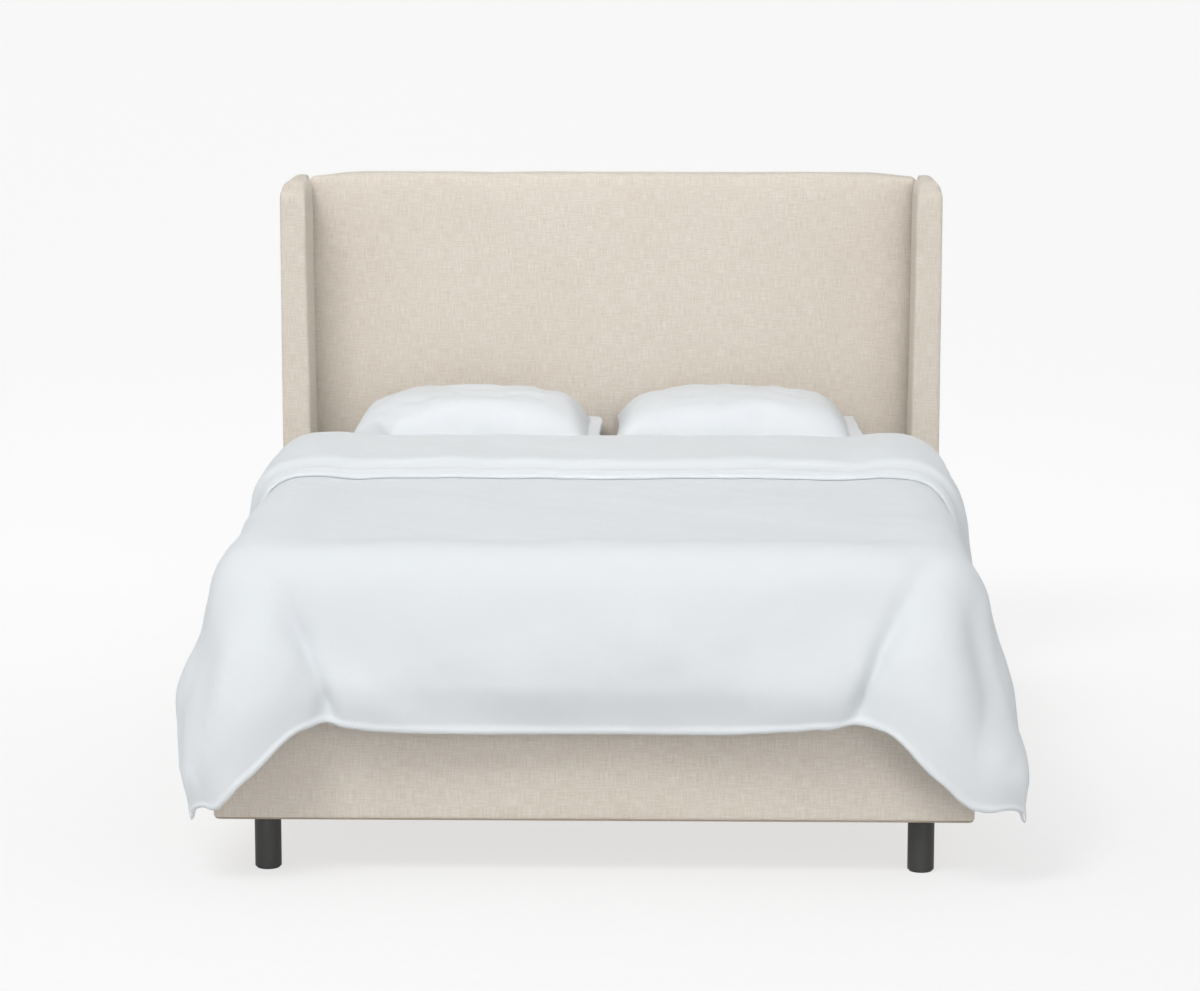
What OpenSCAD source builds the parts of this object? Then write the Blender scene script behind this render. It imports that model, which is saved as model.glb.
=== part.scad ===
// Upholstered wing headboard bed, queen size, made up with sheet, duvet and two pillows.
// +Z is up, the foot of the bed points to -Y and the headboard stands at +Y.
// The origin is on the floor, under the middle of the whole object.

/* [Bed frame] */
// Width over the upholstered side rails
bed_w = 1620; // [1600:10:1640]
// Length from the front of the foot rail to the back of the headboard
bed_l = 2190; // [2180:5:2200]
// Height of the underside of the rails, which is the height of the legs
leg_h = 120; // [100:5:150]
// Height of the rails
rail_h = 280; // [260:10:300]
// Thickness of the timber in the rails
board_t = 25; // [22:1:28]
// Thickness of the padded linen on the outside of the rails
pad_t = 15; // [12:1:18]

/* [Legs] */
// Diameter of a leg
leg_d = 57; // [45:1:65]
// Distance of a leg's axis from the middle of the bed
leg_x = 700; // [680:5:705]
// Distance of a foot leg's axis behind the front of the foot rail
leg_in = 59; // [45:1:75]

/* [Headboard] */
// Width over the wings
head_w = 1720; // [1710:5:1740]
// Height of the padded panel
head_h = 1345; // [1200:5:1400]
// Height of the wings
wing_h = 1335; // [1190:5:1390]
// Depth of the panel from its padded face to its back
head_t = 100; // [95:1:110]
// Distance that the wings reach forward of the panel
wing_reach = 190; // [150:5:240]
// Thickness of a wing at the top
wing_t_top = 67; // [60:1:75]
// Thickness of a wing at the height of the rails
wing_t_low = 78; // [70:1:85]
// How far the panel's top drops at its ends
shoulder = 22; // [0:1:40]
// How far in from its ends the panel's top starts to drop
shoulder_w = 170; // [80:10:300]
// Radius of the upper front corner of a wing
wing_r = 60; // [30:5:90]

/* [Base] */
// Number of slats
slat_count = 10; // [8:1:10]
// Width of a slat
slat_w = 90; // [70:5:100]
// Thickness of a slat
slat_t = 20; // [16:1:22]
// Height of the top of the slats
slat_top = 355; // [345:5:360]

/* [Bedding] */
// Width of the mattress
mat_w = 1524; // [1520:1:1528]
// Length of the mattress
mat_l = 2032; // [2028:1:2036]
// Thickness of the mattress
mat_t = 285; // [260:5:300]
// Distance that the duvet stands out in front of the foot rail
duvet_out = 100; // [80:5:120]
// Half width of the duvet at its lower corners
duvet_half_w = 915; // [890:5:930]
// Distance of the duvet's rear crease behind the front of the foot rail
duvet_rear = 1560; // [1500:10:1600]
// Length of a pillow
pillow_l = 640; // [600:10:660]
// Depth of a pillow
pillow_d = 495; // [460:5:505]
// Thickness of a pillow
pillow_t = 170; // [120:5:190]

/* [Hidden] */
$fn = 64;
c_linen = [0.85, 0.81, 0.75];
c_pine = [0.80, 0.66, 0.46];
c_ply = [0.74, 0.60, 0.42];
c_foam = [0.93, 0.88, 0.70];
c_leg = [0.20, 0.21, 0.20];
c_steel = [0.62, 0.63, 0.65];
c_cotton = [0.90, 0.92, 0.93];
c_ticking = [0.86, 0.86, 0.84];

// Clearances: between parts that only lie together, and round a bolt or a screw
gap = 0.5;
bolt_gap = 0.1;
// Cloth wrapped over an edge
wrap_t = 3;
bolt_r = 4;
screw_r = 2.5;

// Stations along the bed
foot_y = (duvet_out - bed_l) / 2;
back_y = foot_y + bed_l;
panel_y = back_y - head_t;
wing_y = panel_y - wing_reach;
foot_in_y = foot_y + pad_t + board_t;
ply_t = 9;
back_cloth_t = 2;
stile_t = 40;
stile_y = back_y - back_cloth_t - stile_t;
ply_y = stile_y - ply_t;
cover_t = 9;

// Stations across the bed
rail_out_x = bed_w / 2;
board_x = rail_out_x - pad_t;
rail_in_x = board_x - board_t;
wing_out_x = head_w / 2;
wing_core_out_x = wing_out_x - 6;
wing_core_in_x = rail_out_x + 2;
panel_half_w = rail_out_x;

// Heights
rail_top = leg_h + rail_h;
pad_z = rail_top + 10;
panel_top = head_h - cover_t;
board_top = panel_top - shoulder;
wing_pad = 12;
rail_corner_r = 14;
mat_z = slat_top;
mat_top = mat_z + mat_t;
sheet_t = 1.5;
bed_top = mat_top + sheet_t + gap;
ledger_w = 30;
ledger_h = 40;
ledger_z = slat_top - slat_t - ledger_h;

// Rail joints
socket_t = 3;
socket_y = ply_y - socket_t;
hook_t = 3;
rail_end_y = socket_y - hook_t;
hook_zs = [200, 300];
plate_screw_zs = [168, 275, 372];
hook_x = rail_in_x + 12;

// Corner blocks at the foot
block_w = 120;
block_d = 70;
block_h = 140;
block_x = rail_in_x - block_w;
block_y = foot_in_y;
cross_bolt_y = block_y + block_d / 2;
cross_bolt_zs = [150, 230];
long_bolt_xs = [block_x + 30, rail_in_x - 30];
long_bolt_z = 190;

// Legs
plate_t = 2;
glide_t = 3;
head_leg_x = rail_out_x - 35;
head_leg_y = back_y - leg_d / 2 - 4;
foot_leg_y = foot_y + leg_in;
leg_bolt_top = leg_h + 45;
leg_bolt_low = leg_h - 40;
leg_places = [
    [-leg_x, foot_leg_y],
    [leg_x, foot_leg_y],
    [-head_leg_x, head_leg_y],
    [head_leg_x, head_leg_y]
];

// Centre beam
beam_w = 60;
beam_h = 90;
beam_z = ledger_z + ledger_h - beam_h;
saddle_t = 4;
saddle_l = 45;
post_w = 50;
post_ys = [-0.16 * bed_l, 0.16 * bed_l];
post_z = 26;
stem_r = 5;
stem_top = 90;
stem_gap = 0.3;

// Slats
slat_first = foot_in_y + 60;
slat_last = rail_end_y - 60 - slat_w;
slat_step = (slat_last - slat_first) / (slat_count - 1);
slat_x = rail_in_x - 2;

// Mattress and duvet
mat_y = panel_y - 13 - mat_l;
duvet_t = 46;
duvet_clear = 14;
fold_t = 38;
hem_z = 325;
tip_z = 105;
duvet_rear_y = foot_y + duvet_rear;
fold_front_y = foot_y + 1050;

// Pillows
pillow_x = [-342, 330];
pillow_mid_y = (duvet_rear_y + panel_y) / 2 + 2;
case_t = 2;

function slat_name(i) = str("slat_", i < 10 ? "0" : "", i);

// Copies its children at the right for side 1 and mirrored at the left for side -1
module on_side(side) {
    if (side > 0) children();
    else mirror([1, 0, 0]) children();
}

// A box from its low corner to its high corner
module block(low, high) {
    translate(low) cube(high - low);
}

// A round rod from a point along +X, +Y or +Z
module rod(at, axis, r, l) {
    turn = axis == "x" ? [0, 90, 0] : axis == "y" ? [-90, 0, 0] : [0, 0, 0];
    translate(at) rotate(turn) cylinder(r = r, h = l);
}

// A rectangle centred on the origin with true round corners
module round_rect(w, l, r) {
    square([w - 2 * r, l], center = true);
    square([w, l - 2 * r], center = true);
    for (sx = [-1, 1], sy = [-1, 1])
        translate([sx * (w / 2 - r), sy * (l / 2 - r)]) circle(r = r);
}

// A hexagon-headed bolt whose shank runs along +X from the head's underside
module bolt_x(at, l) {
    translate(at) {
        rotate([0, 90, 0]) cylinder(r = bolt_r, h = l);
        translate([-5.3, 0, 0]) rotate([0, 90, 0]) cylinder(r = 7.5, h = 5.3, $fn = 6);
    }
}

// ---------------------------------------------------------------- headboard

// How far the padded panel's top has dropped at a distance x from the middle.
function shoulder_drop(x) =
    let (t = min(1, max(0, (abs(x) - panel_half_w + shoulder_w) / shoulder_w)))
    shoulder * pow(t * t * (3 - 2 * t), 1.5);

// A slab across the bed whose upper corners drop in a soft curve.
module shoulder_slab(half_w, low_y, high_y, low_z, high_z) {
    steps = 14;
    curve = [for (i = [0:steps]) panel_half_w - shoulder_w * (1 - i / steps)];
    xs = concat([for (x = curve) if (x < half_w) x], [half_w]);
    right = [for (x = xs) [x, high_z - shoulder_drop(x)]];
    left = [for (i = [len(xs) - 1:-1:0]) [-right[i][0], right[i][1]]];
    translate([0, high_y, 0]) rotate([90, 0, 0]) linear_extrude(height = high_y - low_y)
        polygon(concat([[-half_w, low_z]], left, right, [[half_w, low_z]]));
}

module headboard_stile(side) {
    color(c_pine) on_side(side) difference() {
        block([panel_half_w - 70, stile_y, leg_h], [panel_half_w, stile_y + stile_t, board_top]);
        rod([head_leg_x, head_leg_y, leg_h - 1], "z", bolt_r + bolt_gap, leg_bolt_top - leg_h + 2);
        plate_screw_holes();
    }
}

// A cross member between the stiles, at height z
module headboard_member(z, h) {
    x = panel_half_w - 70;
    color(c_pine) block([-x, stile_y, z], [x, stile_y + stile_t, z + h]);
}

module headboard_plywood() {
    color(c_ply) difference() {
        shoulder_slab(panel_half_w, ply_y, stile_y, leg_h, panel_top);
        for (side = [-1, 1]) on_side(side) {
            plate_screw_holes();
            hook_slots(7);
        }
    }
}

module headboard_foam() {
    color(c_foam) shoulder_slab(panel_half_w - 3, panel_y + cover_t, ply_y, pad_z, panel_top);
}

// Padded linen over the front, the top and both ends of the foam
module headboard_cover() {
    color(c_linen) difference() {
        shoulder_slab(panel_half_w, panel_y, stile_y + stile_t, pad_z, head_h);
        shoulder_slab(panel_half_w - 3, panel_y + cover_t, ply_y + 0.01, pad_z - 1, panel_top);
        shoulder_slab(panel_half_w + 1, ply_y, stile_y + 0.01, pad_z - 1, panel_top);
        block([-panel_half_w - 1, stile_y, pad_z - 1],
              [panel_half_w + 1, stile_y + stile_t + 1, board_top]);
    }
}

module headboard_back_cover() {
    color(c_linen)
        block([-wing_core_out_x, back_y - back_cloth_t, leg_h + wrap_t],
              [wing_core_out_x, back_y, board_top]);
}

// Side view of a wing, grown or shrunk by d, with its upper front corner rounded
module wing_profile(d, low_z, rear_y) {
    r = wing_r + d;
    y0 = wing_y - d;
    z1 = wing_h + d;
    difference() {
        translate([y0, low_z]) square([rear_y - y0, z1 - low_z]);
        difference() {
            translate([y0 - 1, z1 - r]) square([r + 1, r + 1]);
            translate([y0 + r, z1 - r]) circle(r = r);
        }
    }
}

// Stands a side view drawn in Y and Z up, from x0 to x1
module side_slab(x0, x1) {
    translate([x0, 0, 0]) rotate([90, 0, 90]) linear_extrude(height = x1 - x0) children();
}

// The inner face of a wing leans; d is the depth taken off it
module wing_lean(d) {
    low = wing_out_x - wing_t_low + d;
    high = wing_out_x - wing_t_top + d;
    translate([0, panel_y, 0]) rotate([90, 0, 0]) linear_extrude(height = wing_reach)
        polygon([[wing_core_in_x, pad_z], [wing_core_in_x, wing_h],
                 [high, wing_h], [low, pad_z]]);
}

module wing_core(side) {
    color(c_ply) on_side(side)
        side_slab(wing_core_in_x, wing_core_out_x)
            wing_profile(-wing_pad, leg_h + 6, back_y - back_cloth_t);
}

module wing_foam_shape() {
    intersection() {
        wing_lean(4);
        side_slab(wing_out_x - wing_t_low, wing_core_in_x)
            wing_profile(-6, pad_z, panel_y);
    }
}

module wing_foam(side) {
    color(c_foam) on_side(side) wing_foam_shape();
}

// Linen round the front edge, the outer face, the top, the bottom and the padded inner face
module wing_cover(side) {
    color(c_linen) on_side(side) difference() {
        union() {
            side_slab(wing_core_in_x, wing_out_x)
                wing_profile(0, leg_h, back_y - back_cloth_t);
            intersection() {
                wing_lean(0);
                side_slab(wing_out_x - wing_t_low, wing_core_in_x)
                    wing_profile(0, pad_z, panel_y);
            }
        }
        side_slab(wing_core_in_x - 0.01, wing_core_out_x)
            wing_profile(-wing_pad, leg_h + 6, back_y + 1);
        wing_foam_shape();
    }
}

// ------------------------------------------------------------------- rails

module cross_bolt_holes(from_x, to_x) {
    for (z = cross_bolt_zs)
        rod([from_x, cross_bolt_y, z], "x", bolt_r + bolt_gap, to_x - from_x);
}

module long_bolt_holes(from_y, to_y) {
    for (x = long_bolt_xs)
        rod([x, from_y, long_bolt_z], "y", bolt_r + bolt_gap, to_y - from_y);
}

module ledger_screw_places() {
    for (i = [0:4])
        translate([0, block_y + block_d + 60 + i * (rail_end_y - block_y - block_d - 120) / 4,
                   ledger_z + ledger_h / 2])
            children();
}

module side_rail(side) {
    color(c_pine) on_side(side) difference() {
        block([rail_in_x, foot_in_y, leg_h + wrap_t], [board_x, rail_end_y, rail_top - wrap_t]);
        cross_bolt_holes(rail_in_x - 1, rail_in_x + 21);
        ledger_screw_places()
            rod([rail_in_x - 1, 0, 0], "x", screw_r + bolt_gap, 19);
    }
}

// Padded linen over the outside, the top and the underside of a side rail
module side_rail_cover(side) {
    color(c_linen) on_side(side) difference() {
        block([rail_in_x, foot_in_y, leg_h], [rail_out_x, rail_end_y, rail_top]);
        block([rail_in_x - 1, foot_in_y - 1, leg_h + wrap_t],
              [board_x, rail_end_y + 1, rail_top - wrap_t]);
    }
}

module foot_rail() {
    color(c_pine) difference() {
        block([-rail_out_x + 12, foot_y + pad_t, leg_h + wrap_t],
              [rail_out_x - 12, foot_in_y, rail_top - wrap_t]);
        for (side = [-1, 1]) on_side(side)
            long_bolt_holes(foot_in_y - 21, foot_in_y + 1);
    }
}

// Padded linen over the front, the ends, the top and the underside of the foot rail
module foot_rail_cover() {
    r = rail_corner_r;
    color(c_linen) difference() {
        translate([0, 0, leg_h]) linear_extrude(height = rail_h) {
            translate([-rail_out_x, foot_y + r]) square([2 * rail_out_x, pad_t + board_t - r]);
            translate([-rail_out_x + r, foot_y]) square([2 * rail_out_x - 2 * r, pad_t + board_t]);
            for (s = [-1, 1]) translate([s * (rail_out_x - r), foot_y + r]) circle(r = r);
        }
        block([-rail_out_x + 12, foot_y + pad_t, leg_h + wrap_t],
              [rail_out_x - 12, foot_in_y + 1, rail_top - wrap_t]);
    }
}

module corner_block(side) {
    color(c_pine) on_side(side) difference() {
        block([block_x, block_y, leg_h], [rail_in_x, block_y + block_d, leg_h + block_h]);
        cross_bolt_holes(block_x - 1, rail_in_x + 1);
        long_bolt_holes(block_y - 1, block_y + block_d + 1);
        rod([leg_x, foot_leg_y, leg_h - 1], "z", bolt_r + bolt_gap, leg_bolt_top - leg_h + 2);
    }
}

module frame_bolts() {
    color(c_steel) for (side = [-1, 1]) on_side(side) {
        for (z = cross_bolt_zs)
            bolt_x([block_x, cross_bolt_y, z], block_w + 18);
        for (x = long_bolt_xs)
            translate([x, block_y + block_d, long_bolt_z]) rotate([0, 0, -90])
                bolt_x([0, 0, 0], block_d + 18);
    }
}

// -------------------------------------------------------------------- legs

module leg(place) {
    z0 = glide_t;
    z1 = leg_h - plate_t;
    r = leg_d / 2;
    soft = 2;
    color(c_leg) translate([place[0], place[1], 0]) difference() {
        rotate_extrude() {
            translate([0, z0]) square([r - soft, z1 - z0]);
            translate([0, z0 + soft]) square([r, z1 - z0 - soft]);
            translate([r - soft, z0 + soft]) circle(r = soft);
        }
        rod([0, 0, leg_bolt_low - 1], "z", bolt_r + bolt_gap, z1 - leg_bolt_low + 2);
    }
}

module leg_plates() {
    color(c_steel) for (p = leg_places) translate([p[0], p[1], leg_h - plate_t]) difference() {
        cylinder(r = leg_d / 2 - 1, h = plate_t);
        translate([0, 0, -1]) cylinder(r = bolt_r + bolt_gap, h = plate_t + 2);
    }
}

module leg_bolts() {
    color(c_steel) for (p = leg_places)
        rod([p[0], p[1], leg_bolt_low], "z", bolt_r, leg_bolt_top - leg_bolt_low);
}

module leg_glides() {
    color(c_leg) for (p = leg_places) translate([p[0], p[1], 0])
        cylinder(r = leg_d / 2 - 4, h = glide_t);
}

// ---------------------------------------------------- headboard connectors

// Slots that take the hooks, cut to a depth behind the socket's face
module hook_slots(depth) {
    for (z = hook_zs)
        block([hook_x - 4, socket_y - 1, z], [hook_x + 4, ply_y + depth, z + 50]);
}

module plate_screw_holes() {
    for (z = plate_screw_zs)
        rod([hook_x, socket_y - 1, z], "y", screw_r + bolt_gap, 32);
}

module hook_sockets() {
    color(c_steel) for (side = [-1, 1]) on_side(side) difference() {
        block([rail_in_x - 2, socket_y, leg_h + 20], [board_x + 8, ply_y, rail_top - 10]);
        hook_slots(1);
        plate_screw_holes();
    }
}

module rail_hooks() {
    color(c_steel) for (side = [-1, 1]) on_side(side) {
        difference() {
            block([rail_in_x, rail_end_y, leg_h + 30], [board_x, socket_y, rail_top - 15]);
            for (z = plate_screw_zs)
                rod([hook_x, rail_end_y - 1, z], "y", 5, hook_t + 2);
        }
        for (z = hook_zs)
            block([hook_x - 2, socket_y, z + 5], [hook_x + 2, ply_y + 6, z + 35]);
    }
}

// Wood screws of the sockets and of the slat ledgers
module hardware_screws() {
    color(c_steel) for (side = [-1, 1]) on_side(side) {
        for (z = plate_screw_zs) {
            rod([hook_x, socket_y, z], "y", screw_r, 28);
            rod([hook_x, socket_y - 2, z], "y", 4.5, 2);
        }
        ledger_screw_places() {
            rod([rail_in_x - ledger_w, 0, 0], "x", screw_r, ledger_w + 16);
            rod([rail_in_x - ledger_w - 2, 0, 0], "x", 4.5, 2);
        }
    }
}

// -------------------------------------------------------------------- base

module slat_ledger(side) {
    color(c_pine) on_side(side) difference() {
        block([rail_in_x - ledger_w, block_y + block_d, ledger_z],
              [rail_in_x, rail_end_y, ledger_z + ledger_h]);
        ledger_screw_places()
            rod([rail_in_x - ledger_w - 1, 0, 0], "x", screw_r + bolt_gap, ledger_w + 2);
    }
}

module slat(i) {
    y = slat_first + (i - 1) * slat_step;
    color(c_pine) block([-slat_x, y, slat_top - slat_t], [slat_x, y + slat_w, slat_top]);
}

module centre_beam() {
    color(c_pine)
        block([-beam_w / 2, foot_in_y + saddle_t, beam_z],
              [beam_w / 2, ply_y - saddle_t, beam_z + beam_h]);
}

// A steel saddle that opens towards +Y, its back plate at y = 0
module saddle() {
    x = beam_w / 2;
    block([-x - 25, 0, beam_z - 10], [x + 25, saddle_t, beam_z + beam_h]);
    block([-x - saddle_t, 0, beam_z - saddle_t], [x + saddle_t, saddle_l, beam_z]);
    for (s = [0, 1]) mirror([s, 0, 0])
        block([x, 0, beam_z - saddle_t], [x + saddle_t, saddle_l, beam_z + beam_h - 20]);
}

module beam_saddles() {
    color(c_steel) {
        translate([0, foot_in_y, 0]) saddle();
        translate([0, ply_y, 0]) mirror([0, 1, 0]) saddle();
    }
}

module centre_post(y) {
    color(c_pine) difference() {
        block([-post_w / 2, y - post_w / 2, post_z], [post_w / 2, y + post_w / 2, beam_z]);
        rod([0, y, post_z - 1], "z", stem_r + stem_gap, stem_top + 15 - post_z);
    }
}

// Levelling foot: a disc on a stem that screws up and down in the post
module centre_glide(y) {
    color(c_leg) translate([0, y, 0]) {
        cylinder(r = 21, h = 4);
        translate([0, 0, 4]) cylinder(r = 11, h = 6);
        cylinder(r = stem_r, h = stem_top);
    }
}

// ----------------------------------------------------------------- bedding

module mattress() {
    color(c_ticking) translate([0, mat_y + mat_l / 2, mat_z])
        linear_extrude(height = mat_t) round_rect(mat_w, mat_l, 60);
}

// Thin cotton skin over the top and the sides of the mattress
module fitted_sheet() {
    color(c_cotton) translate([0, mat_y + mat_l / 2, 0]) difference() {
        translate([0, 0, mat_z + 60]) linear_extrude(height = mat_t - 60 + sheet_t)
            round_rect(mat_w + 2 * sheet_t, mat_l + 2 * sheet_t, 60 + sheet_t);
        translate([0, 0, mat_z + 59]) linear_extrude(height = mat_t - 59)
            round_rect(mat_w, mat_l, 60);
    }
}

// Quilt over the bed: a top, two side drops, a foot drop and two lower corners
module duvet() {
    top = bed_top + duvet_t;
    in_x = rail_out_x + duvet_clear;
    in_y = foot_y - duvet_clear;
    out_y = foot_y - duvet_out;
    color(c_cotton) {
        block([-in_x, in_y, bed_top], [in_x, duvet_rear_y, top]);
        block([-mat_w / 2, fold_front_y, top], [mat_w / 2, duvet_rear_y, top + fold_t]);
        for (side = [-1, 1]) on_side(side) {
            duvet_side_drop(in_x, in_y, top);
            duvet_corner(in_x, in_y, out_y, top);
        }
        duvet_foot_drop(in_x, in_y, top);
    }
}

module duvet_side_drop(in_x, in_y, top) {
    translate([0, duvet_rear_y, 0]) rotate([90, 0, 0])
        linear_extrude(height = duvet_rear_y - in_y)
            polygon([[in_x - 1, top], [in_x - 1, bed_top], [in_x, bed_top], [in_x + 14, hem_z],
                     [duvet_half_w - 12, hem_z], [duvet_half_w - 12, hem_z + 120],
                     [duvet_half_w - 38, top - 60], [in_x + 12, top]]);
}

module duvet_foot_drop(in_x, in_y, top) {
    translate([-in_x, 0, 0]) rotate([90, 0, 90]) linear_extrude(height = 2 * in_x)
        polygon([[in_y + 1, top], [in_y + 1, bed_top], [in_y, bed_top], [in_y, hem_z],
                 [foot_y - duvet_out + 15, hem_z], [foot_y - duvet_out, hem_z + 90],
                 [foot_y - duvet_out + 15, top - 110], [in_y - 20, top - 10]]);
}

// A hanging lower corner: a sloping column off the bed's corner, with a leaf on each side of it
module duvet_corner(in_x, in_y, out_y, top) {
    leaf_x = in_x + 13;
    hull() {
        block([in_x - 6, in_y - 6, top - 60], [in_x, in_y + 6, top - 4]);
        block([leaf_x, out_y, tip_z], [duvet_half_w, in_y, top - 230]);
    }
    side_slab(leaf_x, duvet_half_w - 13)
        polygon([[in_y - 1, tip_z + 10], [in_y + 380, hem_z + 1], [in_y + 380, hem_z + 80],
                 [in_y - 1, top - 180]]);
    translate([0, in_y, 0]) rotate([90, 0, 0]) linear_extrude(height = in_y - out_y)
        polygon([[leaf_x + 1, tip_z + 25], [leaf_x + 1, top - 180], [in_x - 260, hem_z + 100],
                 [in_x - 260, hem_z + 20]]);
}

// Lens-shaped section of a pillow lying flat: d deep and t thick
module pillow_section(d, t) {
    steps = 24;
    edge = 18;
    upper = [for (i = [0:steps]) let (u = 1 - 2 * i / steps)
        [u * d / 2, edge + (t - edge) * (1 - pow(abs(u), 2.6))]];
    polygon(concat([[-d / 2, 0], [d / 2, 0]], upper));
}

// Stands a pillow section on the bed, from x0 to x1
module pillow_body(x0, x1, d, t, z) {
    translate([x0, pillow_mid_y, z]) rotate([90, 0, 90])
        linear_extrude(height = x1 - x0) pillow_section(d, t);
}

module pillow(i) {
    x = pillow_x[i];
    d = pillow_d - 2 * case_t - 2 * gap;
    color(c_ticking)
        pillow_body(x - pillow_l / 2 + case_t + gap, x + pillow_l / 2 - 25, d,
                    pillow_t - 2 * case_t - 2 * gap, bed_top + case_t + gap);
}

// Cotton case, closed at its left end and open at its right end
module pillowcase(i) {
    x = pillow_x[i];
    color(c_cotton) difference() {
        pillow_body(x - pillow_l / 2, x + pillow_l / 2, pillow_d, pillow_t, bed_top);
        pillow_body(x - pillow_l / 2 + case_t, x + pillow_l / 2 + 1, pillow_d - 2 * case_t,
                    pillow_t - 2 * case_t, bed_top + case_t);
    }
}

// ----------------------------------------------------------------- drawing

headboard_stile(-1);  // headboard_stile_left
headboard_stile(1);  // headboard_stile_right
headboard_member(board_top - 90, 90);  // headboard_top_rail
headboard_member(690, 90);  // headboard_middle_rail
headboard_member(leg_h, 120);  // headboard_bottom_rail
headboard_plywood();
headboard_foam();
headboard_cover();
headboard_back_cover();
wing_core(-1);  // wing_core_left
wing_core(1);  // wing_core_right
wing_foam(-1);  // wing_foam_left
wing_foam(1);  // wing_foam_right
wing_cover(-1);  // wing_cover_left
wing_cover(1);  // wing_cover_right
side_rail(-1);  // side_rail_left
side_rail(1);  // side_rail_right
side_rail_cover(-1);  // side_rail_cover_left
side_rail_cover(1);  // side_rail_cover_right
foot_rail();
foot_rail_cover();
corner_block(-1);  // corner_block_left
corner_block(1);  // corner_block_right
leg(leg_places[0]);  // leg_foot_left
leg(leg_places[1]);  // leg_foot_right
leg(leg_places[2]);  // leg_head_left
leg(leg_places[3]);  // leg_head_right
leg_plates();
leg_bolts();
leg_glides();
rail_hooks();
hook_sockets();
frame_bolts();
hardware_screws();
slat_ledger(-1);  // slat_ledger_left
slat_ledger(1);  // slat_ledger_right
centre_beam();
beam_saddles();
centre_post(post_ys[0]);  // centre_post_foot
centre_post(post_ys[1]);  // centre_post_head
centre_glide(post_ys[0]);  // centre_glide_foot
centre_glide(post_ys[1]);  // centre_glide_head
for (i = [1:slat_count])
    slat(i);
mattress();
fitted_sheet();
duvet();
pillow(0);  // pillow_left
pillow(1);  // pillow_right
pillowcase(0);  // pillowcase_left
pillowcase(1);  // pillowcase_right
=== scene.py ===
"""Looks of an upholstered wing headboard bed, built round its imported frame.

Each sub-assembly is a class: it takes its places from the frame's nodes, builds its meshes,
dresses them and says which body they ride on. Lengths are in metres.
"""
import logging
import math
from dataclasses import dataclass, field
from enum import Enum
from typing import Callable, Iterable, Sequence

import bpy
import numpy as np
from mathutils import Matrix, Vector


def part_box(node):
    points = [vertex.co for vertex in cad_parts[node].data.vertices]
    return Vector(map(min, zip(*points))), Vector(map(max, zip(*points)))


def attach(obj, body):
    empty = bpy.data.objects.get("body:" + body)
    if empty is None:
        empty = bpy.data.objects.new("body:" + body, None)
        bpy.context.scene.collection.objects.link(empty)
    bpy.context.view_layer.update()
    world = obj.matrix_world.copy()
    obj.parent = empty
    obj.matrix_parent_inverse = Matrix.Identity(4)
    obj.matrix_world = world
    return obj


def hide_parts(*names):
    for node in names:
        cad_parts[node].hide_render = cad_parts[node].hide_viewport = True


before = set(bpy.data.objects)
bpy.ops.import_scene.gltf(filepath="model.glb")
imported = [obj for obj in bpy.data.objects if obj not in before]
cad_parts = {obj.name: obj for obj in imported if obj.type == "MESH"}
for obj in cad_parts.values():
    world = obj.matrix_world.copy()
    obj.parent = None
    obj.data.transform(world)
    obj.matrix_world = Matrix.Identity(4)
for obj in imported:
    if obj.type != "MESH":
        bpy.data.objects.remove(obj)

Array = np.ndarray
Colour = tuple[float, float, float]
log = logging.getLogger("bed")
CLOTH_UV = "cloth"
CRISP_ANGLE = math.radians(50.0)
WHOLE = 9.0  # a grid step longer than any part, for a block with no stations inside
SHARP = (1e-4, 1e-4, 1e-4)  # edge radii of a block with square edges


class Side(Enum):
    """The two sides of the bed, as the sign of X."""

    LEFT = -1
    RIGHT = 1

    @property
    def word(self) -> str:
        """The word that the frame's nodes end with."""
        return self.name.lower()


# ---- shape tools


def smooth(t: Array | float) -> Array:
    """Smooth step from 0 to 1 as t goes from 0 to 1."""
    t = np.clip(t, 0.0, 1.0)
    return t * t * (3.0 - 2.0 * t)


def node_box(name: str) -> tuple[Array, Array]:
    """Low and high corner of a frame node, as arrays."""
    low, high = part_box(name)
    return np.array(low, dtype=float), np.array(high, dtype=float)


@dataclass(frozen=True)
class Ripple:
    """Smooth repeatable unevenness, the sum of sine waves in scattered directions."""

    seed: int
    longest: float
    waves: int = 14

    def at(self, co: Array) -> Array:
        """Height of the unevenness, about -1 to 1.

        Args:
            co: points, one row each, of any number of axes.

        Returns:
            One value for each point.
        """
        rng = np.random.default_rng(self.seed)
        total = np.zeros(len(co))
        for _ in range(self.waves):
            way = rng.normal(size=co.shape[1])
            way /= np.linalg.norm(way)
            length = self.longest * rng.uniform(0.35, 1.0)
            total += np.sin(co @ way * (math.tau / length) + rng.uniform(0.0, math.tau))
        return total / math.sqrt(self.waves) * 0.7


def rings_of(numbers: Array) -> list[tuple[int, ...]]:
    """Rows of point numbers as faces."""
    return [tuple(map(int, row)) for row in numbers]


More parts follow.
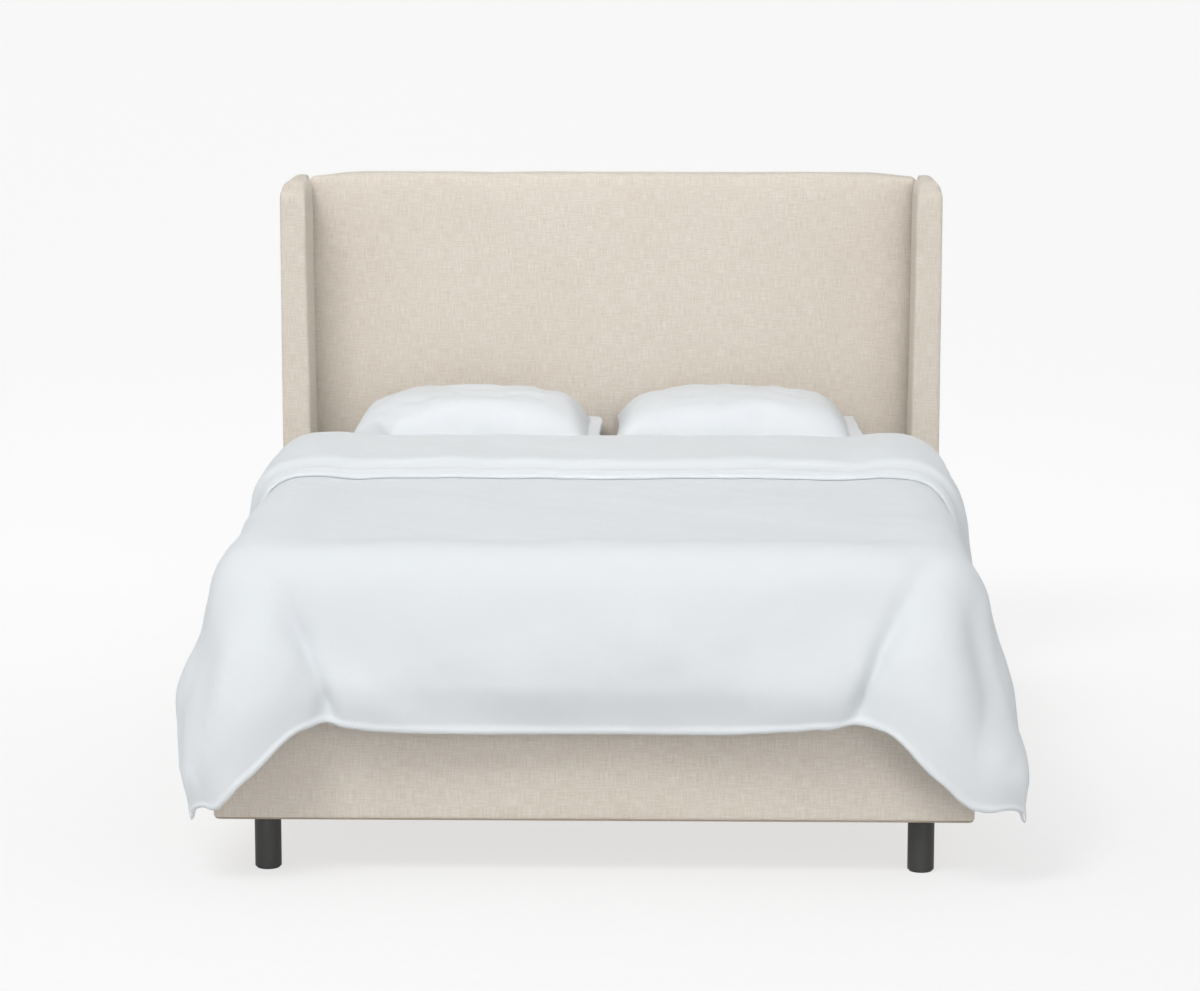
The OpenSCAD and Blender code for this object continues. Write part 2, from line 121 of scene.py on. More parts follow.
@dataclass
class Shape:
    """A mesh in the making: points, faces, and a cloth coordinate for each face corner."""

    co: Array
    faces: list[tuple[int, ...]]
    uv: Array

    def warped(self, warp: Callable[[Array], Array]) -> "Shape":
        """The same shape with its points moved by warp."""
        return Shape(warp(self.co.copy()), self.faces, self.uv)

    def mirrored(self) -> "Shape":
        """Mirrors the shape in X.

        Returns:
            The mirrored shape, its faces still pointing outwards.
        """
        co = self.co * np.array([-1.0, 1.0, 1.0])
        sizes = [len(f) for f in self.faces]
        starts = np.cumsum([0] + sizes[:-1])
        order = np.concatenate([np.arange(s, s + n)[::-1] for s, n in zip(starts, sizes)])
        return Shape(co, [tuple(f[::-1]) for f in self.faces], self.uv[order])

    def piece(self, name: str) -> bpy.types.Object:
        """Makes an object of the shape.

        Args:
            name: the object's name.

        Returns:
            The smooth-shaded object, with its cloth coordinates.
        """
        mesh = bpy.data.meshes.new(name)
        mesh.from_pydata(self.co.tolist(), [], self.faces)
        layer = mesh.uv_layers.new(name=CLOTH_UV)
        layer.data.foreach_set("uv", self.uv.astype(np.float32).ravel())
        mesh.shade_smooth()
        mesh.validate()
        mesh.update()
        ob = bpy.data.objects.new(name, mesh)
        bpy.context.scene.collection.objects.link(ob)
        return ob


def edge_stops(low: float, high: float, r: float, step: float, turns: int) -> Array:
    """Stations along one side of a block, close together over its round ends.

    Args:
        low: the first station.
        high: the last station.
        r: radius of the ends.
        step: widest spacing between the ends.
        turns: stations on each end's quarter turn.

    Returns:
        The stations, rising.
    """
    count = max(2, int(math.ceil((high - low - 2 * r) / step)))
    arc = r * (1.0 - np.cos(np.linspace(0, math.pi / 2, turns + 1)[:-1]))
    middle = np.linspace(low + r, high - r, count + 1)
    return np.concatenate([low + arc, middle, (high - arc)[::-1]])


def soft_block(low: Array, high: Array, radius: Sequence[float], step: float,
               turns: int = 4) -> Shape:
    """A closed box with round edges and an even grid on every side.

    Args:
        low: low corner.
        high: high corner.
        radius: edge radius along X, Y and Z.
        step: spacing of the grid.
        turns: faces round a quarter of an edge.

    Returns:
        The shape, its cloth coordinates in metres across each side.
    """
    r = np.array(radius, dtype=float)
    stops = [edge_stops(low[k], high[k], r[k], step, turns) for k in range(3)]
    counts = [len(s) for s in stops]
    index = -np.ones(counts, dtype=int)
    shell = np.zeros(counts, dtype=bool)
    for k in range(3):
        edge = [slice(None)] * 3
        for end in (0, -1):
            edge[k] = end
            shell[tuple(edge)] = True
    index[shell] = np.arange(shell.sum())
    at = np.argwhere(shell)
    flat = np.stack([stops[k][at[:, k]] for k in range(3)], axis=1)
    inner = np.clip(flat, low + r, high - r)
    off = (flat - inner) / r
    length = np.linalg.norm(off, axis=1, keepdims=True)
    co = inner + off / np.maximum(length, 1e-9) * r * (length > 1e-9)
    faces, uv = [], []
    for k in range(3):
        a, b = [m for m in range(3) if m != k]
        for end in (0, -1):
            side = np.take(index, end, axis=k)
            quads = np.stack([side[:-1, :-1], side[1:, :-1], side[1:, 1:], side[:-1, 1:]], -1)
            quads = quads.reshape(-1, 4)
            if (end == 0) != (k == 1):
                quads = quads[:, ::-1]
            faces.append(quads)
            uv.append(flat[quads.ravel()][:, [a, b]])
    return Shape(co, rings_of(np.vstack(faces)), np.vstack(uv))


def sheet_grid(points: Array, uv: Array) -> Shape:
    """An open grid of quads.

    Args:
        points: points in rows and columns.
        uv: their cloth coordinates, in the same rows and columns.

    Returns:
        The shape.
    """
    rows, cols = points.shape[:2]
    n = np.arange(rows * cols).reshape(rows, cols)
    quads = np.stack([n[:-1, :-1], n[:-1, 1:], n[1:, 1:], n[1:, :-1]], -1).reshape(-1, 4)
    return Shape(points.reshape(-1, 3), rings_of(quads), uv.reshape(-1, 2)[quads.ravel()])


def discard(ob: bpy.types.Object) -> None:
    """Removes an object and its mesh."""
    mesh = ob.data
    bpy.data.objects.remove(ob)
    bpy.data.meshes.remove(mesh)


def carve(ob: bpy.types.Object, hollows: Iterable[Shape]) -> None:
    """Cuts hollows out of a piece and keeps its cut edges crisp.

    Args:
        ob: the piece.
        hollows: closed shapes to take away.
    """
    for hollow in hollows:
        cutter = hollow.piece("cutter")
        cut = ob.modifiers.new("hollow", "BOOLEAN")
        cut.operation = "DIFFERENCE"
        cut.solver = "EXACT"
        cut.object = cutter
        settle(ob)
        discard(cutter)
    ob.data.set_sharp_from_angle(angle=CRISP_ANGLE)


def settle(ob: bpy.types.Object) -> None:
    """Turns what a piece's modifiers give into its plain mesh, and removes them.

    Args:
        ob: the piece.
    """
    graph = bpy.context.evaluated_depsgraph_get()
    mesh = bpy.data.meshes.new_from_object(ob.evaluated_get(graph), depsgraph=graph)
    ob.modifiers.clear()
    old, ob.data = ob.data, mesh
    if old.users == 0:
        name = old.name
        bpy.data.meshes.remove(old)
        mesh.name = name


def resampled(grid: Array, rows: Array, cols: Array) -> Array:
    """A grid of points read at fractional rows and columns, along smooth curves.

    Args:
        grid: points in rows and columns.
        rows: row positions, which may lie past the ends.
        cols: column positions.

    Returns:
        The points, len(rows) by len(cols).
    """

    def along(data: Array, where: Array) -> Array:
        """Reads data along its first axis at fractional places, straight past the ends."""
        last = len(data) - 1
        i = np.clip(np.floor(where).astype(int), 0, last - 1)
        t = (where - i)[:, None, None]
        a, b = data[i], data[i + 1]
        before = np.where((i > 0)[:, None, None], data[np.maximum(i - 1, 0)], 2 * a - b)
        after = np.where((i < last - 1)[:, None, None], data[np.minimum(i + 2, last)], 2 * b - a)
        curve = (a + 0.5 * t * (b - before + t * (2 * before - 5 * a + 4 * b - after
                                                  + t * (3 * (a - b) + after - before))))
        return np.where((t < 0) | (t > 1), a + t * (b - a), curve)

    return along(along(grid, rows).transpose(1, 0, 2), cols).transpose(1, 0, 2)


def normals_of(grid: Array) -> Array:
    """Unit normals of a grid of points.

    Args:
        grid: points in rows and columns.

    Returns:
        One normal for each point, pointing up where the grid lies flat.
    """
    down = np.gradient(grid, axis=0)
    across = np.gradient(grid, axis=1)
    n = np.cross(across, down)
    return n / np.maximum(np.linalg.norm(n, axis=2, keepdims=True), 1e-9)


def relaxed(grid: Array, rounds: int) -> Array:
    """A grid of points evened out, each towards the mean of its neighbours.

    Args:
        grid: points in rows and columns.
        rounds: how many times the points are moved.

    Returns:
        The evened points. Those on the border stay.
    """
    out = grid.copy()
    for _ in range(rounds):
        pad = np.pad(out, ((1, 1), (1, 1), (0, 0)), mode="edge")
        mean = (pad[:-2, 1:-1] + pad[2:, 1:-1] + pad[1:-1, :-2] + pad[1:-1, 2:]) / 4
        step = 0.5 * (mean - out)
        step[0], step[-1], step[:, 0], step[:, -1] = 0, 0, 0, 0
        out += step
    return out


# ---- node groups


class Grain(Enum):
    """Which axis a board's grain runs along, as the stretch of its pattern."""

    ALONG_X = (0.06, 1.0, 1.0)
    ALONG_Y = (1.0, 0.06, 1.0)
    ALONG_Z = (1.0, 1.0, 0.06)


# places of the colour sockets on a Mix node
MIX_FACTOR, MIX_LOW, MIX_HIGH, MIX_COLOUR = 0, 6, 7, 2


@dataclass
class Graph:
    """A node tree under construction, with short ways to add and join nodes."""

    tree: bpy.types.NodeTree

    def add(self, kind: str, **values: object) -> bpy.types.Node:
        """Adds a node.

        Args:
            kind: the node's type.
            values: its properties, or values and sockets for its inputs. An input's name has
                underscores for spaces, and i0, i1 and so on stand for inputs by number.

        Returns:
            The node.
        """
        node = self.tree.nodes.new(kind)
        for key, value in values.items():
            if hasattr(node, key):
                setattr(node, key, value)
                continue
            name = int(key[1:]) if key[1:].isdigit() else key.replace("_", " ").title()
            if isinstance(value, bpy.types.NodeSocket):
                self.tree.links.new(value, node.inputs[name])
            else:
                node.inputs[name].default_value = value
        return node

    def sums(self, way: str, *terms: object, clamp: bool = False) -> bpy.types.NodeSocket:
        """Adds a math node.

        Args:
            way: the operation.
            terms: numbers or sockets.
            clamp: keeps the answer between 0 and 1.

        Returns:
            The answer.
        """
        node = self.add("ShaderNodeMath", operation=way, use_clamp=clamp)
        for slot, term in zip(node.inputs, terms):
            if isinstance(term, bpy.types.NodeSocket):
                self.tree.links.new(term, slot)
            else:
                slot.default_value = term
        return node.outputs[0]

    def noise(self, place: bpy.types.NodeSocket, scale: float | bpy.types.NodeSocket,
              detail: float = 2.0, stretch: Sequence[float] = (1, 1, 1)) -> bpy.types.NodeSocket:
        """Adds smooth noise of about 0 to 1, its pattern scaled along the axes by stretch."""
        spread = self.add("ShaderNodeMapping", Vector=place, Scale=tuple(stretch))
        return self.add("ShaderNodeTexNoise", Vector=spread.outputs[0], Scale=scale,
                        Detail=detail).outputs["Fac"]

    def between(self, mask: bpy.types.NodeSocket, low: object, high: object
                ) -> bpy.types.NodeSocket:
        """Mixes two colours.

        Args:
            mask: 0 for low, 1 for high.
            low: the first colour, or its socket.
            high: the second colour, or its socket.

        Returns:
            The mixed colour.
        """
        node = self.add("ShaderNodeMix", data_type="RGBA")
        self.tree.links.new(mask, node.inputs[MIX_FACTOR])
        for slot, value in ((MIX_LOW, low), (MIX_HIGH, high)):
            if isinstance(value, bpy.types.NodeSocket):
                self.tree.links.new(value, node.inputs[slot])
            else:
                node.inputs[slot].default_value = (*value, 1.0)
        return node.outputs[MIX_COLOUR]

    def ranged(self, value: bpy.types.NodeSocket, low: float, high: float,
               to_low: float, to_high: float) -> bpy.types.NodeSocket:
        """Maps a value from low and high to to_low and to_high, and keeps it between them."""
        return self.add("ShaderNodeMapRange", Value=value, From_Min=low, From_Max=high,
                        To_Min=to_low, To_Max=to_high).outputs[0]


def new_group(name: str, inputs: dict[str, tuple[str, object]], outputs: dict[str, str]
              ) -> tuple[Graph, bpy.types.Node, bpy.types.Node]:
    """Starts a shader node group.

    Args:
        name: the group's name.
        inputs: each input's name, with its socket kind and default.
        outputs: each output's name, with its socket kind.

    Returns:
        The graph, its input node and its output node.
    """
    tree = bpy.data.node_groups.new(name, "ShaderNodeTree")
    for label, (kind, value) in inputs.items():
        socket = tree.interface.new_socket(label, in_out="INPUT", socket_type=kind)
        if value is not None:
            socket.default_value = value
    for label, kind in outputs.items():
        tree.interface.new_socket(label, in_out="OUTPUT", socket_type=kind)
    graph = Graph(tree)
    return graph, graph.add("NodeGroupInput"), graph.add("NodeGroupOutput")


FLOAT, VECTOR, COLOUR = "NodeSocketFloat", "NodeSocketVector", "NodeSocketColor"


def weave_group() -> bpy.types.NodeTree:
    """Over-and-under threads with uneven yarn, on a cloth coordinate in metres.

    Returns:
        The group's tree.
    """
    g, given, out = new_group("weave", {
        "Place": (VECTOR, None), "Threads": (FLOAT, 1500.0), "Slub": (FLOAT, 0.5)},
        {"Height": FLOAT, "Yarn": FLOAT})
    split = g.add("ShaderNodeSeparateXYZ", Vector=given.outputs["Place"])
    turns = g.sums("MULTIPLY", given.outputs["Threads"], math.pi)
    warp = g.sums("SINE", g.sums("MULTIPLY", split.outputs[0], turns))
    weft = g.sums("SINE", g.sums("MULTIPLY", split.outputs[1], turns))
    over = g.sums("ABSOLUTE", g.sums("MULTIPLY", warp, weft))
    thick_yarn, thin_yarn = (420.0, 26.0), (900.0, 120.0)  # scales across and along a yarn
    yarns = []
    for across, run in (thick_yarn, thin_yarn):
        for stretch in ((across, run, 1.0), (run, across, 1.0)):
            yarns.append(g.noise(given.outputs["Place"], 1.0, 1.5, stretch))
    coarse, fine = g.sums("ADD", *yarns[:2]), g.sums("ADD", *yarns[2:])
    both = g.sums("ADD", g.sums("MULTIPLY", coarse, 0.32), g.sums("MULTIPLY", fine, 0.18))
    yarn = g.ranged(both, 0.40, 0.60, 0.0, 1.0)
    slub = g.sums("MULTIPLY", yarn, given.outputs["Slub"])
    height = g.sums("SUBTRACT", g.sums("MULTIPLY", over, 0.5), slub)
    g.tree.links.new(height, out.inputs["Height"])
    g.tree.links.new(yarn, out.inputs["Yarn"])
    return g.tree


def fading_group() -> bpy.types.NodeTree:
    """Broad, faint unevenness of tone from light, handling and dust.

    Returns:
        The group's tree.
    """
    g, given, out = new_group("fading", {
        "Place": (VECTOR, None), "Patches": (FLOAT, 3.0), "Amount": (FLOAT, 0.1)},
        {"Tone": FLOAT})
    broad = g.noise(given.outputs["Place"], given.outputs["Patches"], 3.0)
    fine = g.noise(given.outputs["Place"], 60.0, 4.0)
    blend = g.sums("ADD", g.sums("MULTIPLY", broad, 0.7), g.sums("MULTIPLY", fine, 0.3))
    tone = g.sums("MULTIPLY", g.ranged(blend, 0.3, 0.7, 0.0, 1.0), given.outputs["Amount"])
    g.tree.links.new(tone, out.inputs["Tone"])
    return g.tree


def timber_group() -> bpy.types.NodeTree:
    """Growth rings and fibres of sawn wood, with the grain along the stretched axis.

    Returns:
        The group's tree.
    """
    g, given, out = new_group("timber", {
        "Place": (VECTOR, None), "Stretch": (VECTOR, (1.0, 1.0, 1.0)),
        "Rings": (FLOAT, 60.0), "Fibres": (FLOAT, 500.0)},
        {"Ring": FLOAT, "Fibre": FLOAT})
    spread = g.add("ShaderNodeVectorMath", operation="MULTIPLY")
    g.tree.links.new(given.outputs["Place"], spread.inputs[0])
    g.tree.links.new(given.outputs["Stretch"], spread.inputs[1])
    bend = g.add("ShaderNodeTexNoise", Vector=spread.outputs[0], Scale=5.0, Detail=2.0)
    moved = g.sums("MULTIPLY", bend.outputs["Fac"], given.outputs["Rings"])
    ring = g.ranged(g.sums("SINE", g.sums("MULTIPLY", moved, 2.5)), -1.0, 1.0, 0.0, 1.0)
    fibre = g.add("ShaderNodeTexNoise", Vector=spread.outputs[0],
                  Scale=given.outputs["Fibres"], Detail=3.0)
    g.tree.links.new(ring, out.inputs["Ring"])
    g.tree.links.new(g.ranged(fibre.outputs["Fac"], 0.35, 0.65, 0.0, 1.0), out.inputs["Fibre"])
    return g.tree


@dataclass
class Workshop:
    """The shared node groups, each built once."""

    groups: dict[str, bpy.types.NodeTree] = field(default_factory=dict)

    def group(self, graph: Graph, maker: Callable[[], bpy.types.NodeTree],
              **values: object) -> bpy.types.Node:
        """Places a shared group in a material.

        Args:
            graph: the material's graph.
            maker: the function that builds the group.
            values: this material's values or sockets for the group's inputs.

        Returns:
            The group's node.
        """
        key = maker.__name__
        if key not in self.groups:
            self.groups[key] = maker()
        node = graph.tree.nodes.new("ShaderNodeGroup")
        node.node_tree = self.groups[key]
        for name, value in values.items():
            if isinstance(value, bpy.types.NodeSocket):
                graph.tree.links.new(value, node.inputs[name])
            else:
                node.inputs[name].default_value = value
        return node


WORKSHOP = Workshop()


# ---- finishes


@dataclass(frozen=True)
class Finish:
    """What every finish has: a name, two tones and a roughness."""

    name: str
    light: Colour
    dark: Colour
    rough: float

    def start(self) -> tuple[bpy.types.Material, Graph, bpy.types.Node]:
        """Starts the finish's material.

        Returns:
            The material, its graph and its surface shader.
        """
        material = bpy.data.materials.new(self.name)
        material.use_nodes = True
        graph = Graph(material.node_tree)
        shader = material.node_tree.nodes["Principled BSDF"]
        shader.inputs["Roughness"].default_value = self.rough
        material.diffuse_color = (*self.light, 1.0)
        return material, graph, shader

    def tint(self, graph: Graph, shader: bpy.types.Node, mask: bpy.types.NodeSocket) -> None:
        """Colours the surface from light to dark by the mask."""
        graph.tree.links.new(graph.between(mask, self.light, self.dark),
                             shader.inputs["Base Color"])

    def relief(self, graph: Graph, shader: bpy.types.Node, height: bpy.types.NodeSocket,
               depth: float, strength: float = 1.0) -> None:
        """Raises the surface by the height, depth metres high at strength 1."""
        bump = graph.add("ShaderNodeBump", Height=height, Distance=depth, Strength=strength)
        graph.tree.links.new(bump.outputs[0], shader.inputs["Normal"])


@dataclass(frozen=True)
class Cloth(Finish):
    """Woven cloth. threads is the count per metre, slub the unevenness of its yarn."""

    threads: float = 1500.0
    slub: float = 0.5
    depth: float = 0.0004
    sheen: float = 0.2
    fade: float = 0.25
    stripe: float = 0.0

    def material(self) -> bpy.types.Material:
        """Builds the finish on the piece's cloth coordinates.

        Returns:
            The material.
        """
        material, g, shader = self.start()
        shader.inputs["Sheen Weight"].default_value = self.sheen
        shader.inputs["Sheen Roughness"].default_value = 0.6
        shader.inputs["Specular IOR Level"].default_value = 0.25
        place = g.add("ShaderNodeUVMap", uv_map=CLOTH_UV).outputs[0]
        body = g.add("ShaderNodeTexCoord").outputs["Object"]
        weave = WORKSHOP.group(g, weave_group, Place=place, Threads=self.threads, Slub=self.slub)
        fading = WORKSHOP.group(g, fading_group, Place=body, Amount=self.fade)
        yarn = g.sums("MULTIPLY", weave.outputs["Yarn"], self.slub)
        mask = g.sums("ADD", yarn, fading.outputs["Tone"], clamp=True)
        if self.stripe:
            across = g.add("ShaderNodeSeparateXYZ", Vector=place).outputs[0]
            wave = g.sums("SINE", g.sums("MULTIPLY", across, math.tau / self.stripe))
            line = g.ranged(wave, 0.80, 0.86, 0.0, 0.8)
            mask = g.sums("MAXIMUM", mask, line)
        self.tint(g, shader, mask)
        self.relief(g, shader, weave.outputs["Height"], self.depth)
        return material


@dataclass(frozen=True)
class Timber(Finish):
    """Sawn or stained wood with its grain along one axis."""

    grain: Grain = Grain.ALONG_X
    rings: float = 60.0
    coat: float = 0.0
    depth: float = 0.0003

    def material(self) -> bpy.types.Material:
        """Builds the finish on object coordinates.

        Returns:
            The material.
        """
        material, g, shader = self.start()
        shader.inputs["Coat Weight"].default_value = self.coat
        shader.inputs["Coat Roughness"].default_value = 0.3
        body = g.add("ShaderNodeTexCoord").outputs["Object"]
        wood = WORKSHOP.group(g, timber_group, Place=body, Stretch=self.grain.value,
                              Rings=self.rings)
        fading = WORKSHOP.group(g, fading_group, Place=body, Amount=0.25, Patches=9.0)
        mask = g.sums("ADD", g.sums("MULTIPLY", wood.outputs["Ring"], 0.6),
                      g.sums("MULTIPLY", wood.outputs["Fibre"], 0.25))
        mask = g.sums("ADD", mask, fading.outputs["Tone"], clamp=True)
        self.tint(g, shader, mask)
        rough = g.ranged(wood.outputs["Fibre"], 0.0, 1.0, self.rough - 0.06, self.rough + 0.08)
        g.tree.links.new(rough, shader.inputs["Roughness"])
        self.relief(g, shader, wood.outputs["Fibre"], self.depth)
        return material


@dataclass(frozen=True)
class Plate(Finish):
    """Zinc-plated steel: fine crystals and dull patches."""

    metal: float = 1.0

    def material(self) -> bpy.types.Material:
        """Builds the finish on object coordinates.

        Returns:
            The material.
        """
        material, g, shader = self.start()
        shader.inputs["Metallic"].default_value = self.metal
        body = g.add("ShaderNodeTexCoord").outputs["Object"]
        flakes = g.add("ShaderNodeTexVoronoi", Vector=body, Scale=220.0).outputs["Color"]
        tone = g.add("ShaderNodeSeparateColor", Color=flakes).outputs[0]
        fading = WORKSHOP.group(g, fading_group, Place=body, Amount=0.5, Patches=25.0)
        self.tint(g, shader, g.sums("ADD", g.sums("MULTIPLY", tone, 0.35),
                                    fading.outputs["Tone"], clamp=True))
        rough = g.ranged(fading.outputs["Tone"], 0.0, 0.5, self.rough, self.rough + 0.2)
        g.tree.links.new(rough, shader.inputs["Roughness"])
        self.relief(g, shader, tone, 0.00006)
        return material


@dataclass(frozen=True)
class Grit(Finish):
    """A fine-grained stuff: moulded plastic, or foam with open cells."""

    cells: float = 900.0
    depth: float = 0.0002

    def material(self) -> bpy.types.Material:
        """Builds the finish on object coordinates.

        Returns:
            The material.
        """
        material, g, shader = self.start()
        body = g.add("ShaderNodeTexCoord").outputs["Object"]
        cell = g.add("ShaderNodeTexVoronoi", Vector=body, Scale=self.cells).outputs["Distance"]
        fading = WORKSHOP.group(g, fading_group, Place=body, Amount=0.4, Patches=12.0)
        self.tint(g, shader, g.sums("ADD", g.sums("MULTIPLY", cell, 0.5),
                                    fading.outputs["Tone"], clamp=True))
        rough = g.ranged(cell, 0.0, 0.8, self.rough, min(1.0, self.rough + 0.12))
        g.tree.links.new(rough, shader.inputs["Roughness"])
        self.relief(g, shader, cell, self.depth)
        return material


LINEN = Cloth("oat_linen", (0.885, 0.825, 0.745), (0.700, 0.605, 0.495), 0.92,
              threads=1250.0, slub=0.75, depth=0.0009, sheen=0.15, fade=0.15)
# Dark brown piping for the rails' lower edge: a real welt whose dark tone is painted shade, standing
# in for the shadow line under that edge.
WELT_PAINTED_SHADE = Cloth("linen_welt", (0.42, 0.34, 0.26), (0.30, 0.24, 0.18), 0.92,
             threads=1250.0, slub=0.4, depth=0.0004)
DUST_CLOTH = Cloth("black_dust_cloth", (0.055, 0.053, 0.050), (0.030, 0.029, 0.028), 0.95,
                   threads=900.0, slub=0.5, depth=0.0002, sheen=0.1)
SATEEN = Cloth("white_sateen", (0.660, 0.686, 0.706), (0.630, 0.656, 0.680), 0.72,
               threads=3200.0, slub=0.18, depth=0.00012, sheen=0.12, fade=0.3)
PERCALE = Cloth("white_percale", (0.672, 0.696, 0.716), (0.640, 0.664, 0.686), 0.80,
                threads=2800.0, slub=0.2, depth=0.00015, sheen=0.10, fade=0.3)
SHEETING = Cloth("sheet_percale", (0.790, 0.805, 0.815), (0.740, 0.757, 0.770), 0.82,
                 threads=2600.0, slub=0.2, depth=0.00015, sheen=0.10, fade=0.3)
TICKING = Cloth("mattress_ticking", (0.70, 0.70, 0.68), (0.42, 0.46, 0.52), 0.85,
                threads=1600.0, slub=0.25, depth=0.0003, stripe=0.036)
PILLOW_TICKING = Cloth("pillow_ticking", (0.76, 0.76, 0.75), (0.45, 0.50, 0.60), 0.85,
                       threads=2000.0, slub=0.2, depth=0.0002, stripe=0.030)
FOAM = Grit("cut_foam", (0.80, 0.72, 0.46), (0.66, 0.56, 0.32), 0.95, cells=700.0, depth=0.0005)
PLASTIC = Grit("black_plastic", (0.018, 0.018, 0.019), (0.030, 0.030, 0.031), 0.42,
               cells=1400.0, depth=0.00006)
ZINC = Plate("zinc_steel", (0.66, 0.67, 0.69), (0.46, 0.47, 0.49), 0.30)
PINE = {way: Timber("pine_" + way.name.lower(), (0.72, 0.53, 0.32), (0.52, 0.33, 0.17), 0.62,
                    grain=way) for way in Grain}
PLY = Timber("birch_ply", (0.72, 0.58, 0.40), (0.58, 0.43, 0.27), 0.60, Grain.ALONG_Z, 30.0)
BLACK_WOOD = Timber("black_stained_wood", (0.022, 0.023, 0.022), (0.038, 0.037, 0.035), 0.50,
                    Grain.ALONG_Z, 24.0, coat=0.08, depth=0.00012)


@dataclass
class Stock:
    """Materials already made, so that pieces of one finish share one."""

    made: dict[str, bpy.types.Material] = field(default_factory=dict)

    def of(self, finish: Finish) -> bpy.types.Material:
        """Finds or makes a finish's material.

        Args:
            finish: the finish.

        Returns:
            The material.
        """
        if finish.name not in self.made:
            self.made[finish.name] = finish.material()
        return self.made[finish.name]


STOCK = Stock()


def dressed(ob: bpy.types.Object, finish: Finish) -> bpy.types.Object:
    """Gives a piece or a frame node one finish all over.

    Args:
        ob: the piece or node.
        finish: its finish.

    Returns:
        The same object.
    """
    ob.data.materials.clear()
    ob.data.materials.append(STOCK.of(finish))
    return ob


def placed(ob: bpy.types.Object, body: str, slot: str, *nodes: str) -> bpy.types.Object:
    """Hands a finished piece to its body, and logs its slot.

    Args:
        ob: the piece.
        body: the body that it rides on.
        slot: the name of its material slot, which is only logged.
        nodes: the frame nodes that it replaces, if any.

    Returns:
        The same object.
    """
    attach(ob, body)
    if nodes:
        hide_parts(*nodes)
    log.info("%s rides on %s, slot %s", ob.name, body, slot)
    return ob


# ---- bedding helpers


def shell_of(top: Array, under: Array, uv: Array, open_end: bool = False) -> Shape:
    """A closed skin from an upper and a lower grid whose borders lie close together.

    Args:
        top: upper points, in rows and columns, columns running to the right of the rows.
        under: lower points, as many.
        uv: cloth coordinates of the grid.
        open_end: leaves the last column's border open.

    Returns:
        The shape, with faces pointing away from the space between the grids.
    """
    rows, cols = top.shape[:2]
    n = np.arange(rows * cols).reshape(rows, cols)
    m = n + rows * cols
    up = np.stack([n[:-1, :-1], n[:-1, 1:], n[1:, 1:], n[1:, :-1]], -1).reshape(-1, 4)
    down = np.stack([m[:-1, :-1], m[1:, :-1], m[1:, 1:], m[:-1, 1:]], -1).reshape(-1, 4)

    def rim(a: Array, b: Array) -> Array:
        """Quads between two rows of point numbers."""
        return np.stack([a[:-1], b[:-1], b[1:], a[1:]], -1)

    rims = [rim(n[0], m[0]), rim(n[-1][::-1], m[-1][::-1]),
            rim(n[:, 0][::-1], m[:, 0][::-1])]
    if not open_end:
        rims.append(rim(n[:, -1], m[:, -1]))
    faces = np.vstack([up, down] + rims)
    co = np.vstack([top.reshape(-1, 3), under.reshape(-1, 3)])
    flat = np.vstack([uv.reshape(-1, 2)] * 2)
    return Shape(co, rings_of(faces), flat[faces.ravel()])


def read_at(grid: Array, rows: Array, cols: Array) -> Array:
    """A grid's values at fractional places, mixed from the four nearest.

    Args:
        grid: values in rows and columns.
        rows: row positions.
        cols: column positions, in the same form as rows.

    Returns:
        The values, in the form of rows.
    """
    i = np.clip(np.floor(rows).astype(int), 0, grid.shape[0] - 2)
    j = np.clip(np.floor(cols).astype(int), 0, grid.shape[1] - 2)
    a, b = (rows - i)[..., None], (cols - j)[..., None]
    low = grid[i, j] * (1 - b) + grid[i, j + 1] * b
    high = grid[i + 1, j] * (1 - b) + grid[i + 1, j + 1] * b
    return low * (1 - a) + high * a


def hemmed(length: float, step: float, hem: Sequence[float], low: bool = True,
           high: bool = True) -> Array:
    """Stations across a cloth, closer together at its hems.

    Args:
        length: the last station. The first is 0.
        step: spacing between the hems.
        hem: stations of a hem, from its edge inwards.
        low: whether the first end has a hem.
        high: whether the last end has one.

    Returns:
        The stations, rising.
    """
    first = np.array(hem if low else hem[:1])
    final = np.array(hem if high else hem[:1])
    count = max(2, int(round((length - first[-1] - final[-1]) / step)))
    middle = np.linspace(first[-1], length - final[-1], count + 1)[1:-1]
    return np.concatenate([first, middle, length - final[::-1]])


